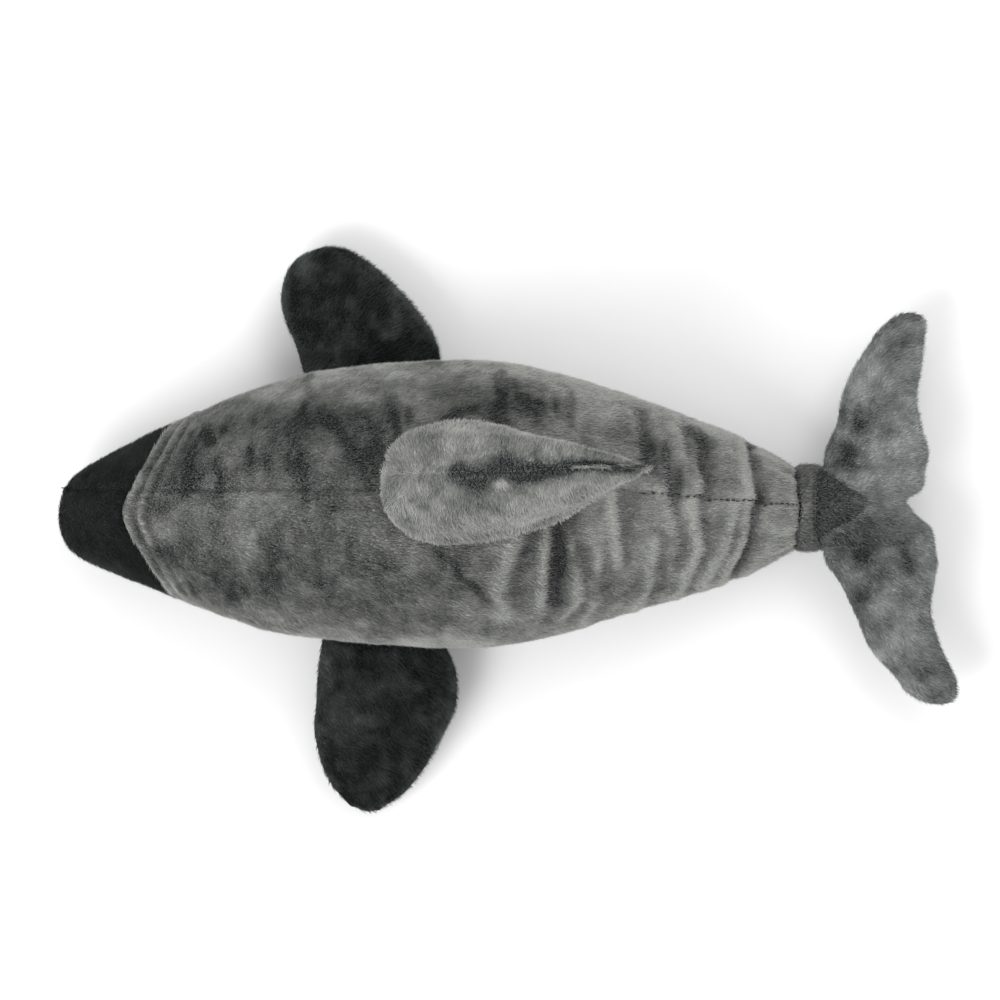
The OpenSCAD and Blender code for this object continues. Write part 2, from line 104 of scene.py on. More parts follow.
VIEW_MIDDLE, VIEW_W = (0.048, 0.004, 0.06), 0.8         # metres

# Share of the body's length, half width, top and floor side at each ring from the nose back.
# The first row only gives the curve its direction at the tip of the nose.
BODY_ROWS = np.array([
    [0.0135, -0.22, 0.19, 0.44],
    [0.0, 0.0, 0.305, 0.305], [0.0135, 0.22, 0.44, 0.19], [0.047, 0.36, 0.54, 0.115],
    [0.11, 0.51, 0.64, 0.05], [0.19, 0.68, 0.76, 0.0], [0.29, 0.865, 0.885, -0.05],
    [0.385, 0.95, 0.96, -0.065], [0.515, 1.0, 1.0, -0.065], [0.59, 0.995, 0.985, -0.065],
    [0.675, 0.905, 0.925, -0.06], [0.775, 0.75, 0.8, -0.03], [0.87, 0.59, 0.665, 0.03],
    [0.935, 0.455, 0.555, 0.09], [1.0, 0.29, 0.43, 0.16]])

# Back fin rings from the keel up: front end, rear end, half width share, height share.
DORSAL_ROWS = np.array([
    [-28, 98, 0.12, 0.035], [-38, 108, 0.6, 0.13], [-43, 116, 1, 0.3], [-38, 127, 0.94, 0.46],
    [-18, 146, 0.78, 0.66], [20, 157, 0.62, 0.83], [75, 163, 0.4, 0.94], [125, 166, 0.05, 1]])
DORSAL_Y, DORSAL_H, DORSAL_HALF_W, DORSAL_LEAN, LEVEL_Z = 13.0, 90.0, 49.0, 17.0, 186.0

# Side fin rings from the root out: distance out, front edge, rear edge, half thickness.
RIGHT_FIN_ROWS = np.array([
    [-8, -50, 50, 0.2], [-5.6, -51, 52, 4.3], [0, -52, 56, 6.6], [20, -58, 50, 11], [40, -65, 38, 14],
    [60, -69, 22, 13.5], [80, -65, 2, 10], [90, -57, -11, 7], [95, -47, -20, 4.5], [98, -37, -29, 1.5]])
LEFT_FIN_ROWS = np.array([
    [-8, -48, 46, 0.2], [-5.6, -49, 47, 4.3], [0, -50, 49, 6.6], [20, -53, 55, 11], [45, -55, 54, 15],
    [70, -55, 44, 15], [95, -50, 30, 12.5], [114, -42, 16, 9], [126, -32, 4, 6], [132, -23, -5, 4],
    [135, -16, -11, 1.5]])

# Fluke rings from the left tip to the right tip: sideways place, front edge, rear edge, half thickness.
FLUKE_ROWS = np.array([
    [-157, 88, 94, 1], [-154, 79, 103, 4], [-147, 68, 106, 7], [-134, 57, 103, 10], [-110, 38, 93, 13],
    [-84, 25, 85, 15], [-60, 13, 87, 15], [-45, 3, 89, 13], [-34, 0, 88, 10], [-18, 0, 85, 9],
    [-6, 0, 73, 8], [6, 0, 65, 8], [16, 0, 77, 9], [30, 0, 80, 10], [46, 2, 82, 13], [66, 10, 77, 15],
    [88, 15, 74, 15], [110, 24, 77, 13], [134, 39, 80, 10], [147, 51, 81, 7], [153, 59, 78, 4],
    [156, 66, 72, 1]])
GUSSET_FIRST, GUSSET_LAST, NOTCH_RING = 8.2, 13.2, 11.0

# Folds of the back: knots of the line, height and half width of the crown, then depth and half
# width of the hollow behind it.
FOLDS = [
    (((65, -15), (60, -30), (50, -50), (45, -70), (50, -85)), 3.5, 7, 2, 9),
    (((85, -10), (80, -75)), 4.5, 4, 5.5, 9),
    (((105, -35), (110, -75), (95, -90)), 2.5, 4.5, 1.2, 7),
    (((125, -40), (120, -80), (115, -90)), 2.5, 4.5, 1.2, 7),
    (((135, 5), (140, -45)), 3.5, 4, 2.2, 7),
    (((170, -30), (165, -60), (155, -85)), 3, 4.5, 1.2, 7),
    (((175, 10), (185, -30), (180, -45)), 2.5, 5, 1.8, 7),
    (((200, 5), (205, -35), (190, -70)), 3, 4, 1.8, 6),
    (((235, 0), (225, -35), (210, -60)), 3, 4.5, 1.6, 6),
    (((245, 5), (240, -30), (225, -60)), 3.5, 4, 5, 6),
    (((240, 50), (245, 20), (250, 5)), 3.5, 4, 5, 6),
    (((200, 50), (205, 10)), 3, 4, 3, 6),
    (((185, 65), (195, 30)), 1, 5, 4, 7),
    (((175, 35), (175, 10)), 2, 4, 1, 6),
    (((150, 75), (155, 45)), 1, 4, 2.8, 6)]

# The main places where the pile is brushed another way, in round millimetres: centre, half length, half
# width, turn in degrees, and how much lighter (or, below zero, darker) the pile looks there, a painted sheen;
# the small strong light spot on the back fin is a painted highlight.
BRUSHED_PILE_AND_SHEEN = {
    "back": [(-175, 25, 15, 5, 90, -0.3), (-140, 30, 15, 5, 90, -0.4), (-110, 30, 15, 5, 90, -0.4),
             (-85, 60, 20, 5, -45, -0.3), (-60, 35, 20, 15, 0, -0.3), (-35, 65, 20, 5, 90, -0.5),
             (-165, -75, 10, 5, 0, -0.3), (75, 80, 15, 15, 0, -0.4), (15, 70, 25, 5, 20, -0.4),
             (25, -60, 40, 5, -45, -0.4), (95, -25, 25, 5, 90, -0.4), (55, -40, 15, 10, 90, 0.2)],
    "dorsal": [(55, 50, 10, 10, 0, -0.2), (130, 40, 10, 5, -20, -0.3), (50, 20, 5, 5, 0, 1)],
    "fluke": [(375, 145, 10, 10, 0, -0.3), (335, 65, 20, 15, 15, -0.5), (325, 35, 10, 10, 0, -0.6),
              (335, -30, 20, 20, 0, -0.6), (375, -40, 10, 20, 0, -0.5), (340, -75, 25, 10, 80, -0.5)],
    "right_pectoral": [(-110, 195, 20, 10, 60, 0.5), (-95, 120, 25, 10, 10, 0.2)],
    "left_pectoral": [(-90, -140, 20, 5, 90, 0.5), (-45, -120, 25, 5, 0, 0.3), (0, -155, 10, 10, 0, 0.3)],
}


# ---------------------------------------------------------------- curves and noise

def smooth(v):
    """A step from 0 to 1 that starts and ends level: 3v squared less 2v cubed."""
    v = np.clip(v, 0, 1)
    return v * v * (3 - 2 * v)


def mix(a, b, f):
    """The value a share f of the way from a to b."""
    return a + (b - a) * f


def unit(v):
    """Vectors of length 1."""
    return v / np.maximum(np.linalg.norm(v, axis=-1, keepdims=True), 1e-9)


def curve(rows, t):
    """A Catmull-Rom curve through the rows, straight on past its ends; t counts rows."""
    n = len(rows) - 1
    i = np.clip(np.floor(t).astype(int), 0, n - 1)
    f = (t - i)[..., None]
    b, c = rows[i], rows[i + 1]
    a = np.where((i > 0)[..., None], rows[np.maximum(i - 1, 0)], 2 * b - c)
    d = np.where((i + 2 <= n)[..., None], rows[np.minimum(i + 2, n)], 2 * c - b)
    return 0.5 * (2 * b + (c - a) * f + (2 * a - 5 * b + 4 * c - d) * f ** 2
                  + (3 * b - a - 3 * c + d) * f ** 3)


def lattice(cell, seed):
    """A fixed value from -1 to 1 for each whole-number cell."""
    n = cell[..., 0] * 374761393 + cell[..., 1] * 668265263 + cell[..., 2] * 1274126177
    n = (n + seed * 974711) & 0xffffffff
    n = ((n ^ (n >> 13)) * 1103515245) & 0xffffffff
    n = ((n ^ (n >> 15)) * 2246822519) & 0xffffffff
    return ((n >> 8) & 0xffff) / 32767.5 - 1


def lumps(points, size, seed=0, octaves=3, stretch=(1, 1, 1)):
    """Value noise: cell values blended smoothly, each octave half the size and strength of the last."""
    total, strength, spread = 0, 1.0, 0
    for octave in range(octaves):
        p = points / (np.array(stretch) * size) * 2 ** octave + 37.3 * octave
        cell = np.floor(p).astype(np.int64)
        f = p - cell
        f = smooth(f)
        value = 0
        for corner in range(8):
            step = np.array([corner & 1, corner >> 1 & 1, corner >> 2 & 1])
            share = np.prod(np.where(step, f, 1 - f), axis=-1)
            value = value + share * lattice(cell + step, seed + octave)
        total = total + strength * value
        spread += strength ** 2
        strength /= 2
    return total / spread ** 0.5


def normals(grid, closed):
    """Directions out of a grid's surface, from the differences of its neighbours along rows and columns."""
    wide = np.concatenate([grid[:, -2:-1], grid, grid[:, 1:2]], 1) if closed else None
    across = wide[:, 2:] - wide[:, :-2] if closed else np.gradient(grid, axis=1)
    along = np.gradient(grid, axis=0)
    n = unit(np.cross(along, across))
    middle = grid.reshape(-1, 3).mean(0)
    return n if ((grid - middle) * n).sum() > 0 else -n


def sample(field, row, column):
    """A field read between its rows and columns, by shares of the four values round each place."""
    row = np.clip(row, 0, field.shape[0] - 1.001)
    column = np.clip(column, 0, field.shape[1] - 1.001)
    i, j = row.astype(int), column.astype(int)
    f, g = (row - i)[..., None], (column - j)[..., None]
    return mix(mix(field[i, j], field[i, j + 1], g), mix(field[i + 1, j], field[i + 1, j + 1], g), f)


def there_and_back(steps):
    """Shares that run from 0 to 1 and back to 0, with the same number of steps each way."""
    return np.concatenate([np.linspace(0, 1, steps + 1), np.linspace(1, 0, steps + 1)[1:]])


def two_sides(steps):
    """For each of those shares, 1 on the way there and -1 on the way back."""
    return np.repeat([1.0, -1.0], [steps + 1, steps])


def seam_mask(grid, columns, rows=(0, -1)):
    """Marks the points of a grid on the given columns and rows, where its panels are sewn."""
    seams = np.zeros(grid.shape[:2], bool)
    seams[:, list(columns)] = True
    seams[list(rows)] = True
    return seams


def cloth_depth(span, most):
    """Depth of the cloth where two faces lie this far apart: a quarter of the way across, up to a limit."""
    return np.minimum(most, 0.25 * np.linalg.norm(span, axis=-1))


def run_length(grid, axis):
    """Distance along a grid's rows or columns, summed from its first point."""
    step = np.linalg.norm(np.diff(grid, axis=axis), axis=-1)
    return np.concatenate([np.zeros_like(np.take(step, [0], axis)), np.cumsum(step, axis)], axis)


# ---------------------------------------------------------------- forms of the stuffed parts

def body_ring(u):
    """Place along the body, half width, top and floor-side height of ring u."""
    r = curve(BODY_ROWS, u + 1)
    return NOSE_X + r[..., 0] * BODY_L, r[..., 1] * BODY_W / 2, r[..., 2] * BODY_H, r[..., 3] * BODY_H


def body_middle(x):
    """The body bows to its left: a shallow parabola, deeper in front."""
    return 1 - 7.0 * np.where(x < 20, 1.15, 0.6) * ((x - 20) / 300) ** 2


def body_point(u, a):
    """An ellipse across the body at ring u, at angle a in radians, cut flat just over the floor."""
    x, w, top, low = body_ring(u)
    y = w * np.cos(a)
    slope = YAW_VEE * np.maximum(0, u - LAST_RING + 1)
    z = mix(low, top, (1 + np.sin(a)) / 2)
    return np.stack([x - slope * abs(y), body_middle(x) + y, np.maximum(z, BELLY_LIFT)], -1)


def side_seam(u):
    """Angle of the side seam, lowest at the middle of the body."""
    return np.radians(-22 + 14 * ((body_ring(u)[0] + 40) / 300) ** 2)


def back_seam(u):
    """Angle of the back seam, which runs a little to the right of the body's own middle."""
    x, w, _, _ = body_ring(u)
    off = 12 * np.clip((TAIL_END_X - x) / 150, 0, 1)
    return np.arccos(np.clip((off - body_middle(x)) / np.maximum(w, 1e-9), -1, 1))


def seam_angles(u, segment, share):
    """Angle a share of the way across the right back, the left back or the belly."""
    right, back = side_seam(u), back_seam(u)
    low = np.where(segment == 0, right, np.where(segment == 1, back, np.pi - right))
    high = np.where(segment == 0, back, np.where(segment == 1, np.pi - right, 2 * np.pi + right))
    return mix(low, high, share)


def cloth_sim(grid, pinned, cap, pressure, frames=20):
    """Blows up a closed grid of cloth held at its seams and returns how far each point moved, up to a cap."""
    rows, columns = grid.shape[:2]
    piece = put_mesh("trial_cloth", grid[:, :-1].reshape(-1, 3), ring_faces(rows, columns - 1), [])
    held = piece.vertex_groups.new(name="held")
    held.add([int(i) for i in np.flatnonzero(pinned[:, :-1])], 1.0, "REPLACE")
    cloth = piece.modifiers.new("Cloth", "CLOTH").settings
    cloth.quality = 4
    cloth.mass = 0.25
    cloth.tension_stiffness = 12
    cloth.compression_stiffness = 12
    cloth.shear_stiffness = 6
    cloth.bending_stiffness = 0.4
    cloth.shrink_min = -0.035
    cloth.use_pressure = True
    cloth.uniform_pressure_force = pressure
    cloth.vertex_group_mass = "held"
    cloth.effector_weights.gravity = 0
    for frame_number in range(1, frames + 1):
        bpy.context.scene.frame_set(frame_number)
    shown = piece.evaluated_get(bpy.context.evaluated_depsgraph_get()).to_mesh()
    moved = np.empty(len(shown.vertices) * 3, np.float32)
    shown.vertices.foreach_get("co", moved)
    moved = moved.reshape(rows, columns - 1, 3) / MM
    bpy.data.objects.remove(piece)
    bpy.context.scene.frame_set(1)
    moved = np.concatenate([moved, moved[:, :1]], 1) - grid
    far = np.linalg.norm(moved, axis=-1, keepdims=True)
    return np.nan_to_num(moved * np.minimum(1, cap / np.maximum(far, 1e-6)))


def swell(grid, seams, cap, pressure, every=4):
    """How the stuffing swells a closed form: a cloth run on some rows and columns, spread over the rest."""
    rows = np.unique(np.r_[np.arange(0, grid.shape[0], every), grid.shape[0] - 1])
    columns = np.unique(np.r_[np.arange(0, grid.shape[1], every), grid.shape[1] - 1])
    coarse = grid[np.ix_(rows, columns)]
    moved = cloth_sim(coarse, seams[np.ix_(rows, columns)], cap, pressure)
    moved = (moved + np.roll(moved, 1, 0) + np.roll(moved, -1, 0)) / 3 * (moved != 0)
    i = np.interp(np.arange(grid.shape[0]), rows, np.arange(len(rows)))
    j = np.interp(np.arange(grid.shape[1]), columns, np.arange(len(columns)))
    return sample(moved, *np.meshgrid(i, j, indexing="ij"))


def fold(x, y, knots, height, width, hollow, wide):
    """One fold: a crown along a line through its knots and a hollow behind it, fading at the ends."""
    kx, ky = np.array(knots, float).T
    order = np.argsort(ky)
    away = x - np.interp(y, ky[order], kx[order])
    past, fade = 12, 14
    ends = smooth((y - ky.min() + past) / fade) * smooth((ky.max() + past - y) / fade)
    return ends * (height * np.exp(-(away / width) ** 2)
                   - hollow * np.exp(-((away - width - 0.7 * wide) / wide) ** 2))


def patches(x, y, part, seed):
    """Soft oval patches, each strongest at its centre, their outlines loosened by noise."""
    flat = np.stack([x, y, np.zeros_like(x)], -1)
    stray, grain = 5, 18
    x = x + stray * lumps(flat, grain, seed, 2)
    y = y + stray * lumps(flat, grain, seed + 4, 2)
    total = 0
    for middle_x, middle_y, half_l, half_w, turn, strength in BRUSHED_PILE_AND_SHEEN[part]:
        c, s = np.cos(np.radians(turn)), np.sin(np.radians(turn))
        along = (x - middle_x) * c + (y - middle_y) * s
        across = (y - middle_y) * c - (x - middle_x) * s
        total = total + strength * np.exp(-(along / half_l) ** 2 - (across / half_w) ** 2)
    return total


# ---------------------------------------------------------------- meshes

def grid_faces(rows, columns, first=0):
    """Quads between neighbouring points of a grid numbered row by row."""
    i = first + np.arange(rows - 1)[:, None] * columns + np.arange(columns - 1)
    return np.stack([i, i + 1, i + columns + 1, i + columns], -1).reshape(-1, 4)


def ring_faces(rows, columns):
    """Quads of a grid whose last column joins its first."""
    i = np.arange(rows - 1)[:, None] * columns
    j, k = np.arange(columns), (np.arange(columns) + 1) % columns
    return np.stack([i + j, i + k, i + columns + k, i + columns + j], -1).reshape(-1, 4)


def put_mesh(name, points, faces, materials, slots=None, **fields):
    """A mesh piece from points in millimetres and faces that all have the same number of corners."""
    mesh = bpy.data.meshes.new(name)
    corners = faces.shape[1]
    mesh.vertices.add(len(points))
    mesh.vertices.foreach_set("co", np.ascontiguousarray(points * MM, np.float32).ravel())
    mesh.loops.add(faces.size)
    mesh.loops.foreach_set("vertex_index", np.ascontiguousarray(faces, np.int32).ravel())
    mesh.polygons.add(len(faces))
    mesh.polygons.foreach_set("loop_start", np.arange(0, faces.size, corners, dtype=np.int32))
    mesh.polygons.foreach_set("use_smooth", np.ones(len(faces), bool))
    for material in materials:
        mesh.materials.append(material)
    if slots is not None:
        mesh.polygons.foreach_set("material_index", np.ascontiguousarray(slots, np.int32))
    for field, values in fields.items():
        mesh.attributes.new(field, "FLOAT", "POINT").data.foreach_set(
            "value", np.ascontiguousarray(values, np.float32).ravel())
    mesh.update(calc_edges=True)
    piece = bpy.data.objects.new(name, mesh)
    bpy.context.scene.collection.objects.link(piece)
    return piece


def put_cloth(name, outer, inner, material, shade):
    """A closed sheet of cloth: an outer grid, the inner grid under it, and a wall round their four edges."""
    rows, columns = outer.shape[:2]
    count = rows * columns
    top = grid_faces(rows, columns)
    under = grid_faces(rows, columns, count)[:, ::-1]
    number = np.arange(count).reshape(rows, columns)
    rim = np.concatenate([number[0, :], number[1:, -1], number[-1, -2::-1], number[-2:0:-1, 0]])
    after = np.roll(rim, -1)
    wall = np.stack([after, rim, rim + count, after + count], -1)
    faces = np.concatenate([top, under, wall])
    i, j = rows // 2, columns // 2
    face = np.cross(outer[i, j + 1] - outer[i, j], outer[i + 1, j] - outer[i, j])
    if face @ (outer[i, j] - inner[i, j]) < 0:
        faces = faces[:, ::-1]
    points = np.concatenate([outer.reshape(-1, 3), inner.reshape(-1, 3)])
    return put_mesh(name, points, faces, [material], shade=np.tile(shade.ravel(), 2))


def eye_place(node):
    """Middle of an eye's dome and the reach round it that is kept free of pile, in millimetres."""
    low, high = (np.array(corner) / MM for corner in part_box(node))
    middle = (low + high) / 2
    middle[1] = high[1] - EYE_DOME if node == "right_eye" else low[1] + EYE_DOME
    return middle, EYE_R


def put_pile(name, outer, out, nap, shade, tones, seed, spacing=None):
    """Tufts spread evenly over a grid, each a thin closed blade of four triangles lying with the nap."""
    size = bpy.context.scene.plush_sizes
    spacing = spacing or size.pile_spacing / MM
    length = size.pile_length / MM
    rng = np.random.default_rng(seed)
    a, b, c, d = outer[:-1, :-1], outer[:-1, 1:], outer[1:, 1:], outer[1:, :-1]
    halves = [np.linalg.norm(np.cross(v, w), axis=-1) for v, w in ((b - a, c - a), (c - a, d - a))]
    area = 0.5 * (halves[0] + halves[1])
    total = np.cumsum(area.ravel())
    count = int(total[-1] / spacing ** 2)
    pick = np.searchsorted(total, (np.arange(count) + rng.random(count)) / count * total[-1])
    pick = np.minimum(pick, area.size - 1)
    row = pick // area.shape[1] + rng.random(count)
    column = pick % area.shape[1] + rng.random(count)
    root, up = sample(outer, row, column), unit(sample(out, row, column))
    lie = sample(nap, row, column)
    tone = sample(shade[..., None], row, column)[..., 0]
    swirl = 0.35 * lumps(root, 22, seed + 5, 2) + 0.28 * rng.standard_normal(count)
    lie = unit(lie - up * (lie * up).sum(-1, keepdims=True))
    side = np.cross(up, lie)
    lie, side = (lie * np.cos(swirl)[:, None] + side * np.sin(swirl)[:, None],
                 side * np.cos(swirl)[:, None] - lie * np.sin(swirl)[:, None])
    rise = np.tan(size.pile_rise) * (1 + 0.35 * rng.standard_normal(count))[:, None]
    reach = length * (0.75 + 0.5 * rng.random(count))[:, None]
    half = size.pile_width / MM / 2 * (0.8 + 0.4 * rng.random(count))[:, None]
    root = root - 0.25 * reach * lie
    tip = root + unit(lie + rise * up) * reach
    crown = root + 0.12 * reach * lie + (0.75 * half + 0.1) * up
    points = np.stack([root - half * side - 0.3 * up, root + half * side - 0.3 * up, crown, tip], 1)
    bare = np.zeros(count, bool)
    for eye in ("right_eye", "left_eye"):
        middle, radius = eye_place(eye)
        bare |= np.linalg.norm(points - middle, axis=-1).min(1) < radius
    points, tone = points[~bare], tone[~bare]
    count = len(points)
    points[..., 2] = np.maximum(points[..., 2], PILE_LIFT)
    first = 4 * np.arange(count)[:, None, None]
    faces = (first + np.array([[0, 2, 3], [1, 3, 2], [0, 3, 1], [0, 1, 2]])).reshape(-1, 3)
    probe = points[:64]
    away = np.cross(probe[:, 2] - probe[:, 0], probe[:, 3] - probe[:, 0])
    if (away * (probe[:, 0] - probe.mean(1))).sum() < 0:
        faces = faces[:, ::-1]
    level = tone + 0.1 * rng.standard_normal(count)
    slot = np.clip(np.round(level * (len(tones) - 1)), 0, len(tones) - 1)
    return put_mesh(name, points.reshape(-1, 3), faces, tones, np.repeat(slot, 4))


def put_plush(name, node, outer, out, nap, shade, finish, seed,
              ride=None, blend=None, depth=CLOTH_T, spacing=None):
    """One panel of plush: its cloth, which stands for the CAD panel, and the pile woven into it."""
    inner = outer - (depth * np.ones(outer.shape[:2]))[..., None] * out
    inner[..., 2] = np.maximum(inner[..., 2], BELLY_LIFT + 0.3)
    cloth = put_cloth(name + "_cloth", outer, inner, finish["cloth"], shade)
    fibres = put_pile(name + "_pile", outer, out, nap, shade, finish["pile"], seed, spacing)
    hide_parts(node)
    for piece in (cloth, fibres):
        if blend:
            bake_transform(piece)
        else:
            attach(piece, ride)


# ---------------------------------------------------------------- materials

def add_node(tree, kind, **values):
    """A node with its settings filled in."""
    node = tree.nodes.new(kind)
    for key, value in values.items():
        setattr(node, key, value)
    return node


def value_node(tree, operation, *inputs):
    """A Math node; an input is a number or the output that feeds it."""
    node = add_node(tree, "ShaderNodeMath", operation=operation)
    for i, entry in enumerate(inputs):
        if isinstance(entry, (int, float)):
            node.inputs[i].default_value = entry
        else:
            tree.links.new(entry, node.inputs[i])
    return node.outputs[0]


def noise_node(tree, place, scale, detail=3, rough=0.6):
    """A noise texture of a given scale at a place."""
    node = add_node(tree, "ShaderNodeTexNoise")
    node.inputs["Detail"].default_value = detail
    node.inputs["Roughness"].default_value = rough
    if isinstance(scale, (int, float)):
        node.inputs["Scale"].default_value = scale
    else:
        tree.links.new(scale, node.inputs["Scale"])
    tree.links.new(place, node.inputs["Vector"])
    return node.outputs["Fac"]


def colour_mix(tree, share, low, high):
    """Blends two colours by a share."""
    node = add_node(tree, "ShaderNodeMix", data_type="RGBA")
    tree.links.new(share, node.inputs["Factor"])
    for name, entry in (("A", low), ("B", high)):
        tree.links.new(entry, [s for s in node.inputs if s.name == name and s.type == "RGBA"][0])
    return [s for s in node.outputs if s.type == "RGBA"][0]


def colour_times(tree, tint, shade):
    """A colour multiplied by a shade."""
    node = add_node(tree, "ShaderNodeMix", data_type="RGBA", blend_type="MULTIPLY")
    node.inputs["Factor"].default_value = 1.0
    colours = [s for s in node.inputs if s.type == "RGBA"]
    tree.links.new(tint, colours[0])
    tree.links.new(shade, colours[1])
    return [s for s in node.outputs if s.type == "RGBA"][0]


def new_group(name, **inputs):
    """A node group with these inputs, colours or numbers, and the outputs Colour, Roughness and Height."""
    group = bpy.data.node_groups.new(name, "ShaderNodeTree")
    for key, value in inputs.items():
        kind = "NodeSocketFloat" if isinstance(value, float) else "NodeSocketColor"
        made = group.interface.new_socket(name=key.replace("_", " "), in_out="INPUT", socket_type=kind)
        made.default_value = value
    for key, kind in (("Colour", "Color"), ("Roughness", "Float"), ("Height", "Float")):
        group.interface.new_socket(name=key, in_out="OUTPUT", socket_type="NodeSocket" + kind)
    get, put = add_node(group, "NodeGroupInput"), add_node(group, "NodeGroupOutput")
    return group, get, put, add_node(group, "ShaderNodeTexCoord").outputs["Object"]


def give(group, put, colour, roughness, height):
    """Feeds the three outputs of a node group and returns it."""
    for name, value in (("Colour", colour), ("Roughness", roughness), ("Height", height)):
        group.links.new(value, put.inputs[name])
    return group


def even(value):
    """An opaque grey."""
    return (value, value, value, 1)


def nap_group():
    """Plush seen between its tufts: mottled clumps and fine strands, darker towards the roots and in the low
    places between them, a painted shade.
    """
    if "Plush Nap" in bpy.data.node_groups:
        return bpy.data.node_groups["Plush Nap"]
    group, get, put, place = new_group("Plush Nap", Roots=even(0.02), Tips=even(0.2), Shade=0.5,
                                       Clump_Scale=90.0, Strand_Scale=420.0)
    comb = add_node(group, "ShaderNodeMapping")
    comb.inputs["Scale"].default_value = (0.3, 1.0, 1.0)
    group.links.new(place, comb.inputs["Vector"])
    clump = noise_node(group, place, get.outputs["Clump Scale"])
    strand = noise_node(group, comb.outputs["Vector"], get.outputs["Strand Scale"], 2, 0.7)
    share = value_node(group, "ADD", get.outputs["Shade"],
                       value_node(group, "MULTIPLY_ADD", clump, 0.5, -0.35))
    share = value_node(group, "ADD", share, value_node(group, "MULTIPLY_ADD", strand, 0.7, -0.4))
    clipped = add_node(group, "ShaderNodeClamp")
    group.links.new(share, clipped.inputs["Value"])
    colour = colour_mix(group, clipped.outputs[0], get.outputs["Roots"], get.outputs["Tips"])
    rough = value_node(group, "MULTIPLY_ADD", strand, 0.2, 0.75)
    height = value_node(group, "ADD", strand, value_node(group, "MULTIPLY", clump, 0.6))
    return give(group, put, colour, rough, height)


def shader(name, colour=None, roughness=0.6, sheen=0.0, sheen_colour=(1, 1, 1, 1), coat=0.0):
    """A material with its plain values set on the shader's own sockets."""
    material = bpy.data.materials.new(name)
    material.use_nodes = True
    main = material.node_tree.nodes["Principled BSDF"]
    main.inputs["Roughness"].default_value = roughness
    main.inputs["Specular IOR Level"].default_value = 0.15 if sheen else 0.5
    main.inputs["Sheen Weight"].default_value = sheen
    main.inputs["Sheen Roughness"].default_value = 0.45
    main.inputs["Sheen Tint"].default_value = sheen_colour
    main.inputs["Coat Weight"].default_value = coat
    if colour is not None:
        main.inputs["Base Color"].default_value = colour
    material.diffuse_color = colour or (0.5, 0.5, 0.5, 1)
    return material, main


def with_group(material, main, group, bump=0.4, distance=0.0006, **values):
    """Feeds a material's shader from a node group's colour, roughness and height."""
    tree = material.node_tree
    node = add_node(tree, "ShaderNodeGroup", node_tree=group)
    for name, value in values.items():
        node.inputs[name.replace("_", " ")].default_value = value
    tree.links.new(node.outputs["Colour"], main.inputs["Base Color"])
    tree.links.new(node.outputs["Roughness"], main.inputs["Roughness"])
    relief = add_node(tree, "ShaderNodeBump")
    relief.inputs["Strength"].default_value = bump
    relief.inputs["Distance"].default_value = distance
    tree.links.new(node.outputs["Height"], relief.inputs["Height"])
    tree.links.new(relief.outputs["Normal"], main.inputs["Normal"])
    return node


def plush(name, low, high, sheen=0.5):
    """Finish of one plush: a cloth material, and a row of tones from dark to light for its tufts."""
    low, high = np.array(low), np.array(high)
    key = "finish_" + name
    if key in FORMS:
        return FORMS[key]
    glow = tuple(np.clip(high * 2.6, 0, 1)) + (1,)
    cloth, main = shader(name + " cloth", None, 0.85, sheen * 0.6, glow)
    # the cloth under the tufts is painted darker than the tufts (0.55 of the darkest tone to 0.8 of the
    # lightest), a painted shade among their roots
    node = with_group(cloth, main, nap_group(), Roots=tuple(low * 0.55) + (1,),
                      Tips=tuple(high * 0.8) + (1,))
    shade = add_node(cloth.node_tree, "ShaderNodeAttribute", attribute_name="shade")
    cloth.node_tree.links.new(shade.outputs["Fac"], node.inputs["Shade"])
    tones = []
    for step in range(TONES):
        tint = tuple(mix(low ** 0.5, high ** 0.5, step / (TONES - 1)) ** 2) + (1,)
        tones.append(shader(f"{name} pile tone {step + 1}", tint, 0.7, sheen, glow)[0])
    FORMS[key] = {"cloth": cloth, "pile": tones}
    return FORMS[key]


# ---------------------------------------------------------------- settings

class PlushSizes(bpy.types.PropertyGroup):
    """Sizes of the pile, seams and stuffing."""
    pile_length: bpy.props.FloatProperty(
        name="Pile length", description="Length of a tuft", default=0.0055, min=0.001, max=0.02,
        unit="LENGTH")
    pile_width: bpy.props.FloatProperty(
        name="Pile width", description="Width of a tuft at its root", default=0.0009, min=0.0003, max=0.004,
        unit="LENGTH")
    pile_spacing: bpy.props.FloatProperty(
        name="Pile spacing", description="Distance between neighbouring tufts", default=0.0015, min=0.001,
        max=0.01, unit="LENGTH")
    pile_rise: bpy.props.FloatProperty(
        name="Pile rise", description="How steeply a tuft stands off the cloth", default=0.38, min=0.05,
        max=1.4, subtype="ANGLE", unit="ROTATION")
    seam_depth: bpy.props.FloatProperty(
        name="Seam depth", description="How far a seam pulls the cloth in", default=0.0018, min=0, max=0.006,
        unit="LENGTH")
    fold_height: bpy.props.FloatProperty(
        name="Fold height", description="Height of the folds, as a share of their drawn height", default=1.0,
        min=0, max=2, subtype="FACTOR")
    stuffing: bpy.props.FloatProperty(
        name="Stuffing", description="Pressure of the stuffing in the cloth runs", default=4.0, min=0, max=10)


def dye(label, described, value):
    """A colour setting."""
    return bpy.props.FloatVectorProperty(
        name=label, description=described, default=value, size=3, min=0, max=1, subtype="COLOR")


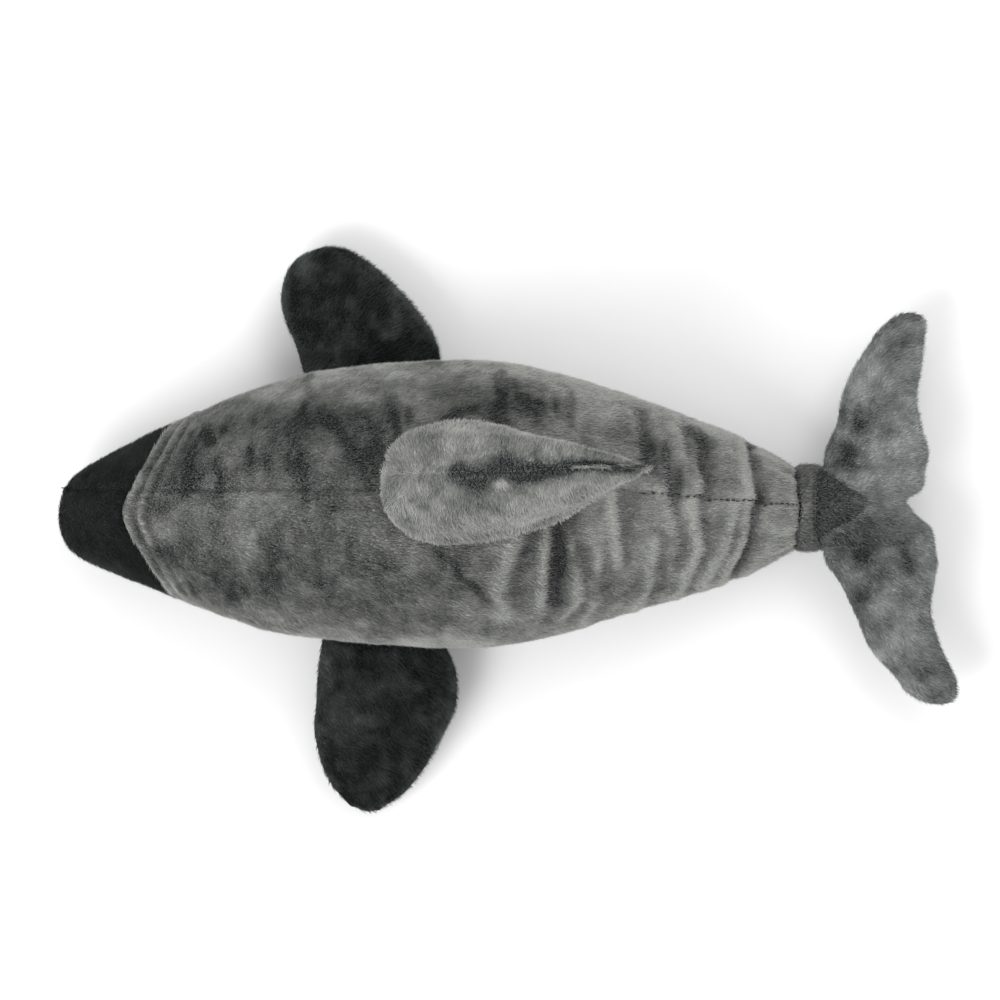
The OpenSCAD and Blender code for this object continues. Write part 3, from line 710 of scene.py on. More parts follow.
class PlushDyes(bpy.types.PropertyGroup):
    """Darkest and lightest tone of each plush, and the colours of the small parts."""
    grey_low: dye("Grey, dark", "Darkest tone of the grey back", (0.011, 0.0135, 0.013))
    grey_high: dye("Grey, light", "Lightest tone of the grey back", (0.405, 0.412, 0.388))
    snout_low: dye("Snout, dark", "Darkest tone of the snout", (0.003, 0.004, 0.0037))
    snout_high: dye("Snout, light", "Lightest tone of the snout", (0.038, 0.044, 0.041))
    fin_low: dye("Side fins, dark", "Darkest tone of the side fins", (0.003, 0.0038, 0.0036))
    fin_high: dye("Side fins, light", "Lightest tone of the side fins", (0.08, 0.09, 0.087))
    light_low: dye("Back fin, dark", "Darkest tone of the back fin", (0.014, 0.019, 0.019))
    light_high: dye("Back fin, light", "Lightest tone of the back fin", (0.43, 0.432, 0.405))
    fluke_low: dye("Fluke, dark", "Darkest tone of the fluke", (0.012, 0.015, 0.0145))
    fluke_high: dye("Fluke, light", "Lightest tone of the fluke", (0.36, 0.372, 0.364))
    belly_low: dye("Belly, dark", "Darkest tone of the belly", (0.12, 0.125, 0.12))
    belly_high: dye("Belly, light", "Lightest tone of the belly", (0.42, 0.43, 0.42))
    thread: dye("Thread", "Sewing thread", (0.012, 0.013, 0.013))
    closing_thread: dye("Closing thread", "Thread of the hand-sewn slit", (0.1, 0.105, 0.1))
    wadding: dye("Wadding", "Polyester fibre filling", (0.82, 0.82, 0.8))
    tape: dye("Label tape", "Woven tape of the blank label", (0.8, 0.79, 0.76))
    eye: dye("Eyes", "Moulded plastic of the eyes", (0.006, 0.006, 0.006))
    washer: dye("Washers", "Plastic of the washers behind the eyes", (0.72, 0.71, 0.68))


class StageSizes(bpy.types.PropertyGroup):
    """Camera, lamps and floor."""
    lens: bpy.props.FloatProperty(name="Lens", description="Focal length", default=300, min=35, max=600,
                                  unit="CAMERA")
    key_power: bpy.props.FloatProperty(name="Key", description="Power of the main soft lamp", default=34,
                                       min=0, max=500, unit="POWER")
    fill_power: bpy.props.FloatProperty(name="Fill", description="Power of the soft lamp opposite",
                                        default=22, min=0, max=500, unit="POWER")
    room: bpy.props.FloatProperty(name="Room light", description="Strength of the even light all round",
                                  default=0.85, min=0, max=3)
    floor: dye("Floor", "Colour of the floor", (0.9, 0.9, 0.9))


# ---------------------------------------------------------------- operators

def back_shade(grid, raised):
    """Tone of the grey plush: lighter towards the tail as a painted sheen, lighter on crowns as painted
    highlights, darker in hollows as painted shade, and darker in streaks.
    """
    side = smooth((grid[..., 1] + 10) / 40)
    streaks = smooth((lumps(grid, 26, 23, 2, (0.45, 1.3, 1.3)) - 0.28) / 0.5)
    # painted light: the rise towards the tail is a painted sheen; raised gives painted highlights on crowns
    # and painted shade in hollows
    return (0.52 + 0.0011 * np.maximum(grid[..., 0], -80) + 0.12 * raised + 0.2 * lumps(grid, 55, 3)
            + 0.22 * lumps(grid, 22, 9, 2) + 0.14 * lumps(grid, 7, 19, 2) - (0.15 + 0.25 * side) * streaks)


def round_nose(grid, out):
    """Near the tip, where the rows close up, the direction out is the one from the middle of the nose."""
    rows = np.arange(len(grid))[:, None, None]
    share = 1 - smooth((rows - 6) / 12)
    return unit(mix(out, unit(grid - np.array(NOSE_MIDDLE)), share))


class PLUSH_OT_body(bpy.types.Operator):
    """Builds the snout, the two back panels and the belly with their pile"""
    bl_idname = "plush.body"
    bl_label = "Body"
    bl_options = {"REGISTER", "UNDO"}

    def execute(self, context):
        size, dyes = context.scene.plush_sizes, context.scene.plush_dyes
        snout_rows, rows, across, under = 40, 250, 96, 104
        segment = np.repeat([0, 1, 2], [across, across, under + 1])
        half_way = np.arange(across) / across
        share = np.concatenate([half_way, half_way, np.arange(under + 1) / under])
        line = np.full(share.shape, 3.0)
        for _ in range(4):
            line = 2.7 + 0.85 * abs(np.cos(seam_angles(line, segment, share))) ** 1.5
        fine = np.linspace(0, LAST_RING, 4000)
        place = body_ring(fine)[0]
        start = np.interp(line, fine, place)
        snout = line * (np.linspace(0, 1, snout_rows)[:, None]) ** 1.15
        behind = np.interp(mix(start, TAIL_END_X, np.linspace(0, 1, rows)[:, None]), place, fine)
        u = np.concatenate([snout[:-1], behind])
        a = seam_angles(u, segment, share)
        grid = body_point(u, a)
        edge = snout_rows - 1
        seams = seam_mask(grid, (0, across, 2 * across, -1), (0, edge, -1))
        seams |= grid[..., 2] <= BELLY_LIFT + 0.01
        grid = grid + swell(grid, seams, BODY_SWELL, size.stuffing)
        out = round_nose(grid, normals(grid, True))
        x, y = grid[..., 0], grid[..., 1]
        round_way = run_length(grid, 1)
        sewn = (0, across, 2 * across, 2 * across + under)
        from_seam = np.min([abs(round_way - round_way[:, k:k + 1]) for k in sewn], 0)
        from_back = abs(round_way - round_way[:, across:across + 1])
        along = run_length(grid, 0)
        from_line = along - along[edge]
        upper = smooth((out[..., 2] + 0.3) / 0.4)
        # folds, rolls and seams, all as heights along the surface's own direction
        raised = sum(fold(x, y, *f) for f in FOLDS) * upper
        behind_line = np.maximum(from_line, 0)

        def ridge(at, wide):
            return np.exp(-((behind_line - at) / wide) ** 2)

        flank = smooth(abs(y) / 50)
        roll = np.where(from_line > 0, 2.2 * ridge(3.2, 3.6) - 1.2 * ridge(9.5, 4) + 1.7 * ridge(15.5, 3.4)
                        - 1.2 * ridge(21, 3) + flank * (0.6 * ridge(28, 4) - 0.5 * ridge(34, 4)),
                        -2.4 * np.exp(-(from_line / 4) ** 2))
        roll = roll * (1 + 0.7 * lumps(grid, 18, 21, 2)) * (0.08 + 0.92 * smooth(out[..., 2] / 0.6))
        seam = -size.seam_depth / MM * np.exp(-(from_seam / 2.6) ** 2)
        pucker = 0.9 * lumps(np.stack([x, 0 * x, 0 * x], -1), 9, 31, 2)
        pucker = pucker * np.exp(-from_back / 16) * smooth((x + 260) / 60)
        tail = smooth((x - 225) / 60)
        gather = tail * (1.1 * np.cos(13 * a + 2 * lumps(grid, 30, 5, 1)) - 2.5 * smooth((x - 281) / 8))
        large = 1.6 * lumps(grid, 48, 41, 3) + 0.5 * lumps(grid, 13, 43, 2)
        large = large * smooth(from_seam / 10) * smooth(abs(from_line) / 12)
        rest = smooth((grid[..., 2] - BELLY_LIFT) / 6)
        folds = raised * size.fold_height * (0.4 + 0.6 * smooth(out[..., 2] / 0.5))
        height = (folds + roll + pucker + gather + large - PILE_ROOM) * rest + seam
        height[0] = -PILE_ROOM
        grid = grid + out * height[..., None]
        grid[..., 2] = np.maximum(grid[..., 2], BELLY_LIFT)
        out = round_nose(grid, normals(grid, True))
        nap = np.broadcast_to(np.array([1.0, 0, 0]), grid.shape)
        # lighter where the surface turns away from straight up, a painted sheen on flanks and rims; darker
        # along the back seam, a painted shade in its furrow
        shade = back_shade(grid, np.clip(raised + 0.9 * roll, -6, 5)) + upper * patches(x, y, "back", 101)
        shade = shade + 0.32 * smooth((0.8 - out[..., 2]) / 0.6) - 0.1 * np.exp(-(from_back / 1.4) ** 2)
        snout_shade = 0.42 + 0.2 * lumps(grid, 26, 51) + 0.16 * lumps(grid, 8, 53, 2)
        # darker near the colour line, a painted shade in its furrow; lighter where the snout turns away from
        # straight up, a painted sheen
        snout_shade = snout_shade - 0.12 * np.exp(-(from_line / 14) ** 2)
        snout_shade = snout_shade + 0.25 * smooth((0.7 - out[..., 2]) / 0.7)
        belly_shade = 0.6 + 0.1 * lumps(grid, 40, 55) + 0.08 * lumps(grid, 12, 57, 2)
        FORMS["body"] = dict(grid=grid, out=out)
        right, left, belly = slice(0, across + 1), slice(across, 2 * across + 1), slice(2 * across, None)
        grey = plush("Grey plush", dyes.grey_low, dyes.grey_high)
        pale = plush("Belly plush", dyes.belly_low, dyes.belly_high)
        dark = plush("Snout plush", dyes.snout_low, dyes.snout_high, 0.35)
        back, front = slice(edge, None), slice(0, edge + 1)
        for name, node, r, c, tone, finish, seed, slot, wide in (
                ("right_back", "right_back_panel", back, right, shade, grey, 11, "grey_plush", None),
                ("left_back", "left_back_panel", back, left, shade, grey, 12, "grey_plush", None),
                ("belly", "belly_panel", back, belly, belly_shade, pale, 13, "belly_plush", 2.1),
                ("snout_top", "snout_top_panel", front, slice(0, 2 * across + 1), snout_shade, dark, 14,
                 "dark_plush", None),
                ("snout_lower", "snout_lower_panel", front, belly, snout_shade, dark, 15, "dark_plush", 1.9)):
            put_plush(name, node, grid[r, c], out[r, c], nap[r, c], tone[r, c], finish, seed,
                      ride="torso", spacing=wide)
        return {"FINISHED"}


def dorsal_point(t, s, side):
    """Back fin: leaf-shaped rings that lean to the right as they rise, the upper ones ever further back."""
    r = curve(DORSAL_ROWS, t)
    up = t / (len(DORSAL_ROWS) - 1)
    x = mix(r[..., 0], r[..., 1], s)
    leaf = np.maximum(np.sin(np.pi * s ** 0.7), 0) ** 0.6
    fine = np.linspace(6, LAST_RING, 200)
    back = np.interp(x, body_ring(fine)[0], body_ring(fine)[2])
    close = np.clip((len(DORSAL_ROWS) - 1 - t) / 0.5, 0, 1) ** 0.5
    return np.stack([x, DORSAL_Y + DORSAL_LEAN * up + side * DORSAL_HALF_W * r[..., 2] * leaf * close,
                     mix(back, LEVEL_Z, up) + r[..., 3] * DORSAL_H], -1)


class PLUSH_OT_back_fin(bpy.types.Operator):
    """Builds the two panels of the back fin, with the soft furrow along its crest"""
    bl_idname = "plush.back_fin"
    bl_label = "Back fin"
    bl_options = {"REGISTER", "UNDO"}

    def execute(self, context):
        size, dyes = context.scene.plush_sizes, context.scene.plush_dyes
        rows, across = 90, 90
        t = np.linspace(0, len(DORSAL_ROWS) - 1, rows)[:, None] + np.zeros(2 * across + 1)
        s = (1 - np.cos(np.pi * there_and_back(across))) / 2 + np.zeros_like(t)
        grid = dorsal_point(t, s, two_sides(across))
        grid = grid + swell(grid, seam_mask(grid, (0, across, -1)), BODY_SWELL, size.stuffing, 3)
        out = normals(grid, True)
        x, y = grid[..., 0], grid[..., 1]
        # the furrow along the crest, from front to rear: its middle, half width and depth
        crest = np.interp(x, [0, 25, 50, 75, 100, 120, 160], [26, 24, 25, 27, 29, 31, 27])
        crest = crest + 1.5 * lumps(np.stack([x, 0 * x, 0 * x], -1), 14, 61, 2)
        wide = np.interp(x, [0, 20, 50, 70, 95, 115, 165], [4, 10, 15, 9, 7, 4, 2.5])
        deep = np.interp(x, [0, 20, 45, 70, 95, 130, 150, 166], [0, 5, 9, 8, 6, 4, 2.5, 0])
        furrow = np.exp(-((y - crest) / wide) ** 2) * smooth((out[..., 2] + 0.1) / 0.5)
        grid = grid.copy()
        grid[..., 2] -= deep * furrow
        ripple = (1.3 * lumps(grid, 30, 63) + 0.5 * lumps(grid, 10, 65, 2)) * smooth(t / 1.5)
        grid = grid + out * ripple[..., None]
        out = normals(grid, True)
        nap = unit(np.stack([0.5 + 0 * x, np.sign(y - crest) * 0.9, -0.8 + 0 * x], -1))
        # darker in the crest furrow, a painted shade
        shade = (0.7 + 0.16 * lumps(grid, 35, 67) + 0.26 * lumps(grid, 11, 69, 3)
                 + 0.1 * lumps(grid, 5, 68, 2) - 0.85 * furrow * np.clip(deep / 4, 0, 1)
                 + patches(x, y, "dorsal", 105) * (out[..., 2] > 0))
        light = plush("Light plush", dyes.light_low, dyes.light_high)
        blend = ("torso", "dorsal_fin", (0.03, 0.013, 0.188), (0.03, 0.013, 0.204))
        depth = cloth_depth(grid - grid[:, ::-1], CLOTH_T)
        FORMS["dorsal"] = dict(grid=grid)
        for name, node, c, seed in (("dorsal_right", "dorsal_right_panel", slice(0, across + 1), 21),
                                    ("dorsal_left", "dorsal_left_panel", slice(across, None), 22)):
            put_plush(name, node, grid[:, c], out[:, c], nap[:, c], shade[:, c], light, seed,
                      blend=blend, depth=depth[:, c])
        return {"FINISHED"}


def fin_form(rows_table, side, rows, across):
    """Side fin: flat at its rim, thickest across the middle, drooping a little towards its tip."""
    last = len(rows_table) - 1
    t = np.linspace(0, last, rows)[:, None] + np.zeros(2 * across + 1)
    c = -np.cos(np.pi * there_and_back(across)) + np.zeros_like(t)
    r = curve(rows_table, t)
    out = r[..., 0]
    full = np.maximum(0, 1 - c * c)
    close = np.clip((last - t) / 0.5, 0, 1) ** 0.5
    thick = (1.6 * full ** 0.3 + r[..., 3] * full ** 0.45) * close
    root_x, turn = FIN_SET[side]
    px = mix(r[..., 1], r[..., 2], (1 + c) / 2)
    droop = 0.1 * np.maximum(0, out) + 0.0006 * np.maximum(0, out) ** 2
    grid = np.stack([root_x + px, side * (FIN_SEAM_Y + turn * px + out),
                     FIN_Z + two_sides(across) * thick - droop], -1)
    return grid, t, c, out


class PLUSH_OT_side_fins(bpy.types.Operator):
    """Builds the top and bottom panels of the two side fins"""
    bl_idname = "plush.side_fins"
    bl_label = "Side fins"
    bl_options = {"REGISTER", "UNDO"}

    def execute(self, context):
        size, dyes = context.scene.plush_sizes, context.scene.plush_dyes
        dark = plush("Charcoal plush", dyes.fin_low, dyes.fin_high, 0.4)
        for side, table, body, seed in ((1, RIGHT_FIN_ROWS, "right_pectoral", 31),
                                        (-1, LEFT_FIN_ROWS, "left_pectoral", 41)):
            rows, across = 80, 72
            grid, t, c, away = fin_form(table, side, rows, across)
            seams = seam_mask(grid, (0, across, -1)) | (away < 3)
            grid = grid + swell(grid, seams, FIN_SWELL, size.stuffing, 3)
            out = normals(grid, True)
            inside = np.minimum(1 - abs(c), np.clip((len(table) - 1 - t) / 3, 0, 1))
            free = smooth(away / 20) * smooth(inside / 0.2)
            ripple = (1.8 * lumps(grid, 26, seed + 1) + 0.8 * lumps(grid, 9, seed + 3, 2) - PILE_ROOM) * free
            grid = grid + out * ripple[..., None]
            out = normals(grid, True)
            # lighter towards the rim, a painted sheen
            rim = np.exp(-(inside / 0.09) ** 2) * smooth(away / 15)
            shade = (0.25 + 0.4 * rim + 0.24 * lumps(grid, 28, seed + 5) + 0.35 * lumps(grid, 9, seed + 7, 3)
                     + patches(grid[..., 0], grid[..., 1], body, seed + 9) * (out[..., 2] > 0))
            depth = cloth_depth(grid - grid[:, ::-1], THIN_CLOTH_T)
            nap = np.broadcast_to(unit(np.array([0.75, side * 0.65, -0.1])), grid.shape)
            FORMS[body] = dict(grid=grid)
            middle = (-0.057 if side > 0 else -0.044, side * 0.106, 0.048)
            outside = (middle[0], side * 0.122, 0.048)
            for part, cut in (("top", slice(0, across + 1)), ("bottom", slice(across, None))):
                put_plush(f"{body}_{part}", f"{body}_{part}", grid[:, cut], out[:, cut], nap[:, cut],
                          shade[:, cut], dark, seed + len(part),
                          blend=("torso", body, middle, outside), depth=depth[:, cut])
        return {"FINISHED"}


def fluke_point(v, c, face):
    """Fluke: two lobes swept back from a tall root, the front edge reaching the cuff's seam."""
    r = curve(FLUKE_ROWS, v)
    y = r[..., 0]
    full = np.maximum(0, 1 - c * c)
    near = (1 - c) / 2
    ends = np.clip(np.minimum(v, len(FLUKE_ROWS) - 1 - v) / 0.5, 0, 1) ** 0.5
    root = FLUKE_ROOT_H * np.sqrt(np.maximum(0, 1 - (y / FLUKE_ROOT_HALF_W) ** 2)) * near ** 1.5
    high = (1.6 * full ** 0.3 + r[..., 3] * full ** 0.45) * ends + root
    reach = smooth(root / 6) * near ** 4
    x = FLUKE_X + mix(r[..., 1], r[..., 2], (1 + c) / 2) - reach * (1.0 + PITCH_VEE * high)
    level = TAIL_Z - FLUKE_DROOP * (y / FLUKE_HALF_W) ** 2
    return np.stack([x, body_middle(TAIL_END_X) + y, level + face * high], -1)


def gusset_share(v):
    """Share of the fluke's depth that the gusset covers: it narrows from the ring seam to a point."""
    r = curve(FLUKE_ROWS, v)
    reach = np.maximum(1, GUSSET_L * (1 - abs(r[..., 0] - GUSSET_Y) / GUSSET_HALF_W))
    share = (reach - r[..., 1]) / (r[..., 2] - r[..., 1])
    return np.where((v > GUSSET_FIRST) & (v < GUSSET_LAST), np.clip(share, 0.015, 0.9), 0.0)


class PLUSH_OT_tail(bpy.types.Operator):
    """Builds the tail cuff, the two lobes of the fluke, its underside and its gusset"""
    bl_idname = "plush.tail"
    bl_label = "Tail"
    bl_options = {"REGISTER", "UNDO"}

    def execute(self, context):
        size, dyes = context.scene.plush_sizes, context.scene.plush_dyes
        tone = plush("Fluke plush", dyes.fluke_low, dyes.fluke_high)
        grey = plush("Grey plush", dyes.grey_low, dyes.grey_high)
        middle = body_middle(TAIL_END_X)
        # cuff: rings from the end of the body to the root of the fluke
        s = np.linspace(0, 1, 26)[:, None] + np.zeros(145)
        a = np.linspace(-0.5 * np.pi, 1.5 * np.pi, 145) + np.zeros_like(s)
        body_y, body_z = abs(BODY_END_HALF_W * np.cos(a)), BODY_END_HALF_H * np.sin(a)
        pinch = np.exp(-(s / 0.12) ** 2) + np.exp(-((1 - s) / 0.12) ** 2)
        bulge = 1 + 0.05 * np.sin(np.pi * s) - 0.05 * pinch
        bulge = bulge + 0.018 * lumps(np.stack([3 * a, s, 0 * a], -1), 0.6, 71, 2)
        front = TAIL_END_X - 0.4 - YAW_VEE * body_y
        rear = CUFF_X + CUFF_L - PITCH_VEE * abs(body_z)
        grid = np.stack([mix(front, rear, s), middle + CUFF_HALF_W * bulge * np.cos(a),
                         TAIL_Z + CUFF_HALF_H * bulge * np.sin(a)], -1)
        grid[:, -1] = grid[:, 0]
        out = normals(grid, True)
        nap = np.broadcast_to(np.array([1.0, 0, 0]), grid.shape)
        # darker at both ends, where the seams pinch the cuff in, a painted shade
        shade = (0.42 + 0.1 * lumps(grid, 20, 73) - 0.3 * np.exp(-(s / 0.1) ** 2)
                 - 0.3 * np.exp(-((1 - s) / 0.1) ** 2))
        put_plush("tail_cuff", "tail_cuff_band", grid, out, nap, shade, grey, 51,
                  blend=("torso", "tail_cuff", (0.283, -0.0024, 0.056), (0.2955, -0.0024, 0.056)))
        FORMS["cuff"] = dict(grid=grid, out=out)
        # fluke: one closed form, cut into its panels
        rows, gusset_columns, across = 230, 18, 60
        v = np.linspace(0, len(FLUKE_ROWS) - 1, rows)
        notch = int(np.argmin(abs(v - NOTCH_RING)))
        first, last = np.flatnonzero(v > GUSSET_FIRST)[0], np.flatnonzero(v < GUSSET_LAST)[-1]
        v = v[:, None]
        split = gusset_share(v)
        near = np.linspace(0, 1, gusset_columns + 1)
        even_steps = np.linspace(0, 1, across + 1)
        eased = (1 - np.cos(np.pi * even_steps)) / 2
        rear_part = 1 - (1 - np.cos(0.5 * np.pi * even_steps[::-1]))
        behind = np.where(split > 0, mix(split, 1, rear_part), eased)
        under = eased[::-1] + 0 * v
        shares = np.concatenate([split * near, behind[:, 1:], under[:, 1:]], 1)
        face = np.repeat([1.0, -1.0], [gusset_columns + 1 + across, across])
        c = 2 * shares - 1
        grid = fluke_point(v + 0 * c, c, face)
        # the cloth run is made on a coarse form of its own and then read at the fine form's places
        coarse_c = -np.cos(np.pi * there_and_back(COARSE_ACROSS))
        coarse_v = np.linspace(0, len(FLUKE_ROWS) - 1, COARSE_ROWS)[:, None]
        coarse = fluke_point(coarse_v + 0 * coarse_c, coarse_c + 0 * coarse_v, two_sides(COARSE_ACROSS))
        seams = seam_mask(coarse, (0, COARSE_ACROSS, -1)) | (coarse[..., 0] < FLUKE_X + 6)
        moved = swell(coarse, seams, FIN_SWELL, size.stuffing, 1)
        angle = np.arccos(np.clip(-c, -1, 1)) / np.pi * COARSE_ACROSS
        column = np.where(face > 0, angle, 2 * COARSE_ACROSS - angle)
        row = v / (len(FLUKE_ROWS) - 1) * (COARSE_ROWS - 1) + 0 * c
        grid = grid + sample(moved, row, column)
        out = normals(grid, True)
        x, y = grid[..., 0], grid[..., 1]
        free = smooth((1 - abs(c)) / 0.25) * smooth(np.minimum(v, len(FLUKE_ROWS) - 1 - v) / 1.5)
        ring = curve(FLUKE_ROWS, v)
        edge = abs(shares - split) * (ring[..., 2] - ring[..., 1])
        seam = np.where((split > 0) & (face > 0), np.exp(-(edge / 2.5) ** 2), 0)
        ripple = (1.8 * lumps(grid, 28, 81) + 0.8 * lumps(grid, 10, 83, 2) - PILE_ROOM) * free - 1.4 * seam
        grid = grid + out * ripple[..., None]
        out = normals(grid, True)
        # darker along the gusset's seam, where it pulls the cloth in, a painted shade
        shade = (0.66 + 0.2 * lumps(grid, 34, 85) + 0.3 * lumps(grid, 12, 87, 3) + 0.1 * lumps(grid, 5, 86, 2)
                 + patches(x, y, "fluke", 107) * (face > 0) - 0.25 * seam)
        streak = np.exp(-((y - 2) / 5) ** 2) * smooth((x - 318) / 20)
        gusset_shade = 0.06 + 0.14 * lumps(grid, 9, 89) + 0.25 * streak
        depth = cloth_depth(fluke_point(v + 0 * c, c, 1) - fluke_point(v + 0 * c, c, -1), THIN_CLOTH_T)
        nap = np.stack([0.9 + 0 * x, 0.35 * np.sign(y) * smooth(abs(y) / 30), -0.05 + 0 * x], -1)
        FORMS["fluke_coarse"] = dict(grid=coarse + moved)
        blend = ("tail_cuff", "fluke", (0.300, -0.0024, 0.056), (0.3135, -0.0024, 0.056))
        g = gusset_columns
        top = slice(g, g + across + 1)
        for name, node, r, k, values, finish, seed, slot in (
                ("right_fluke", "right_fluke_top", slice(notch, None), top, shade, tone, 61, "fluke_plush"),
                ("left_fluke", "left_fluke_top", slice(0, notch + 1), top, shade, tone, 62, "fluke_plush"),
                ("fluke_under", "fluke_bottom", slice(None), slice(g + across, None), shade, tone, 63,
                 "fluke_plush"),
                ("fluke_gusset", "fluke_gusset", slice(first, last + 1), slice(0, g + 1), gusset_shade, grey,
                 64, "grey_plush")):
            put_plush(name, node, grid[r, k], out[r, k], nap[r, k], values[r, k], finish, seed,
                      blend=blend, depth=depth[r, k])
        return {"FINISHED"}


def put_wadding(name, node, rings, body, finish, seed):
    """Fibre filling: rings joined round and closed by a fan at each end, lumpy all over."""
    rows, columns = rings.shape[:2]
    rough = 0.9 * lumps(rings, 16, seed) + 0.5 * lumps(rings, 6, seed + 2, 2)
    middle = rings.mean(1, keepdims=True)
    rings = rings - unit(rings - middle) * abs(rough)[..., None]
    points = np.concatenate([rings.reshape(-1, 3), middle[0], middle[-1]])
    quads = ring_faces(rows, columns)
    j, k = np.arange(columns), (np.arange(columns) + 1) % columns
    last = (rows - 1) * columns
    faces = np.concatenate([quads[:, [0, 1, 2]], quads[:, [0, 2, 3]],
                            np.stack([k, j, 0 * j + rows * columns], -1),
                            np.stack([last + j, last + k, 0 * j + rows * columns + 1], -1)])
    a, b, c = points[faces[:, 0]], points[faces[:, 1]], points[faces[:, 2]]
    if (np.cross(a, b) * c).sum() < 0:
        faces = faces[:, ::-1]
    piece = put_mesh(name, points, faces, [finish])
    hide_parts(node)
    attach(piece, body)


def fibre_group():
    """Polyester wadding: matted white fibre, its hollows painted a soft grey shade."""
    group, get, put, place = new_group("Matted Fibre", Tint=even(0.8), Hollow=even(0.6), Fibre_Scale=240.0)
    matted = noise_node(group, place, get.outputs["Fibre Scale"], 5, 0.7)
    colour = colour_mix(group, matted, get.outputs["Hollow"], get.outputs["Tint"])
    return give(group, put, colour, value_node(group, "MULTIPLY_ADD", matted, 0.1, 0.85), matted)


class PLUSH_OT_wadding(bpy.types.Operator):
    """Builds the fibre filling of the body, the fins, the cuff and the fluke"""
    bl_idname = "plush.wadding"
    bl_label = "Wadding"
    bl_options = {"REGISTER", "UNDO"}

    def execute(self, context):
        tint = context.scene.plush_dyes.wadding
        finish, main = shader("Fibre filling", None, 0.9, 0.2)
        # the hollows' colour is a painted shade, darker than the fibre
        with_group(finish, main, fibre_group(), 0.6, 0.001, Tint=tuple(tint) + (1,),
                   Hollow=tuple(0.72 * c for c in tint) + (1,))
        body, body_inset, cuff_inset = FORMS["body"], CLOTH_T + 2.6, 7
        rings = (body["grid"] - body_inset * body["out"])[6::5, :-1:5]
        rings[..., 2] = np.maximum(rings[..., 2], BELLY_LIFT + CLOTH_T + 1)
        put_wadding("body_wadding", "body_filling", rings, "torso", finish, 91)
        cuff = FORMS["cuff"]
        rings = (cuff["grid"] - cuff_inset * cuff["out"])[7:-6:2, :-1:4]
        put_wadding("cuff_wadding", "cuff_filling", rings, "tail_cuff", finish, 92)
        for form, node, body_name, step, ends, shrink, seed in (
                ("dorsal", "dorsal_filling", "dorsal_fin", 3, (8, -40), 0.6, 93),
                ("right_pectoral", "right_pectoral_filling", "right_pectoral", 3, (16, -28), 0.7, 94),
                ("left_pectoral", "left_pectoral_filling", "left_pectoral", 3, (16, -28), 0.7, 95),
                ("fluke_coarse", "fluke_filling", "fluke", 1, (9, -9), 0.75, 96)):
            # drawn in from both faces, towards the middle of each ring, and cut short at both ends
            grid = FORMS[form]["grid"][:, ::step]
            thin = mix(grid, grid[:, ::-1], 0.24)
            centre = thin.mean(1, keepdims=True)
            thin = (centre + (thin - centre) * shrink)[ends[0]:ends[1]:step, :-1]
            put_wadding(node.replace("filling", "wadding"), node, thin, body_name, finish, seed)
        return {"FINISHED"}


def thread_group():
    """Two-ply sewing thread: a fine slanting twist, with painted shade between the plies."""
    if "Twisted Thread" in bpy.data.node_groups:
        return bpy.data.node_groups["Twisted Thread"]
    group, get, put, place = new_group("Twisted Thread", Tint=even(0.05), Twist_Scale=900.0)
    wave = add_node(group, "ShaderNodeTexWave", bands_direction="DIAGONAL")
    wave.inputs["Distortion"].default_value = 1.5
    group.links.new(place, wave.inputs["Vector"])
    group.links.new(get.outputs["Twist Scale"], wave.inputs["Scale"])
    twist = wave.outputs["Fac"]
    colour = colour_times(group, get.outputs["Tint"], value_node(group, "MULTIPLY_ADD", twist, 0.5, 0.5))
    return give(group, put, colour, value_node(group, "MULTIPLY_ADD", twist, 0.2, 0.5), twist)


def on_cloth(targets):
    """Points moved out or in to the body's finished cloth, and the cloth's direction at each."""
    form = FORMS["body"]
    points, out = form["grid"].reshape(-1, 3), form["out"].reshape(-1, 3)
    nearest = np.array([np.argmin(((points - p) ** 2).sum(1)) for p in targets])
    up = out[nearest]
    return targets + up * ((points[nearest] - targets) * up).sum(1, keepdims=True), up


def put_stitches(name, node, starts, ends, finish, lift):
    """A row of stitches: each a short thread that rises out of the cloth, runs along it and dives back."""
    starts, up = on_cloth(starts)
    ends, _ = on_cloth(ends)
    lie = unit(ends - starts)
    s = np.linspace(0, 1, 11)
    middle = (starts + ends) / 2
    path = (middle[:, None] + lie[:, None] * ((s - 0.5) * STITCH_L)[None, :, None]
            + up[:, None] * (lift * np.sqrt(np.maximum(0, 1 - (2 * s - 1) ** 4)) - 0.8)[None, :, None])
    side = unit(np.cross(up, lie))
    angle = np.arange(STITCH_SIDES) / STITCH_SIDES * 2 * np.pi
    taper = np.maximum(0, 1 - (2 * s - 1) ** 8) ** 0.5
    ply = 1 + 0.14 * np.cos(2 * angle[None, :] - 9 * s[:, None])
    thick = STITCH_R * taper[:, None] * ply
    ring = (side[:, None, None] * (thick * np.cos(angle))[None, :, :, None]
            + up[:, None, None] * (thick * np.sin(angle))[None, :, :, None])
    points = path[:, :, None] + ring
    count = len(starts)
    quads = ring_faces(len(s), STITCH_SIDES)
    faces = (quads[None] + (np.arange(count) * len(s) * STITCH_SIDES)[:, None, None]).reshape(-1, 4)
    probe = points[0].reshape(-1, 3)
    quad = quads[len(quads) // 2]
    face = np.cross(probe[quad[1]] - probe[quad[0]], probe[quad[2]] - probe[quad[0]])
    if face @ (probe[quad[0]] - path[0, 5]) < 0:
        faces = faces[:, ::-1]
    piece = put_mesh(name, points.reshape(-1, 3), faces, [finish])
    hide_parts(node)
    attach(piece, "torso")


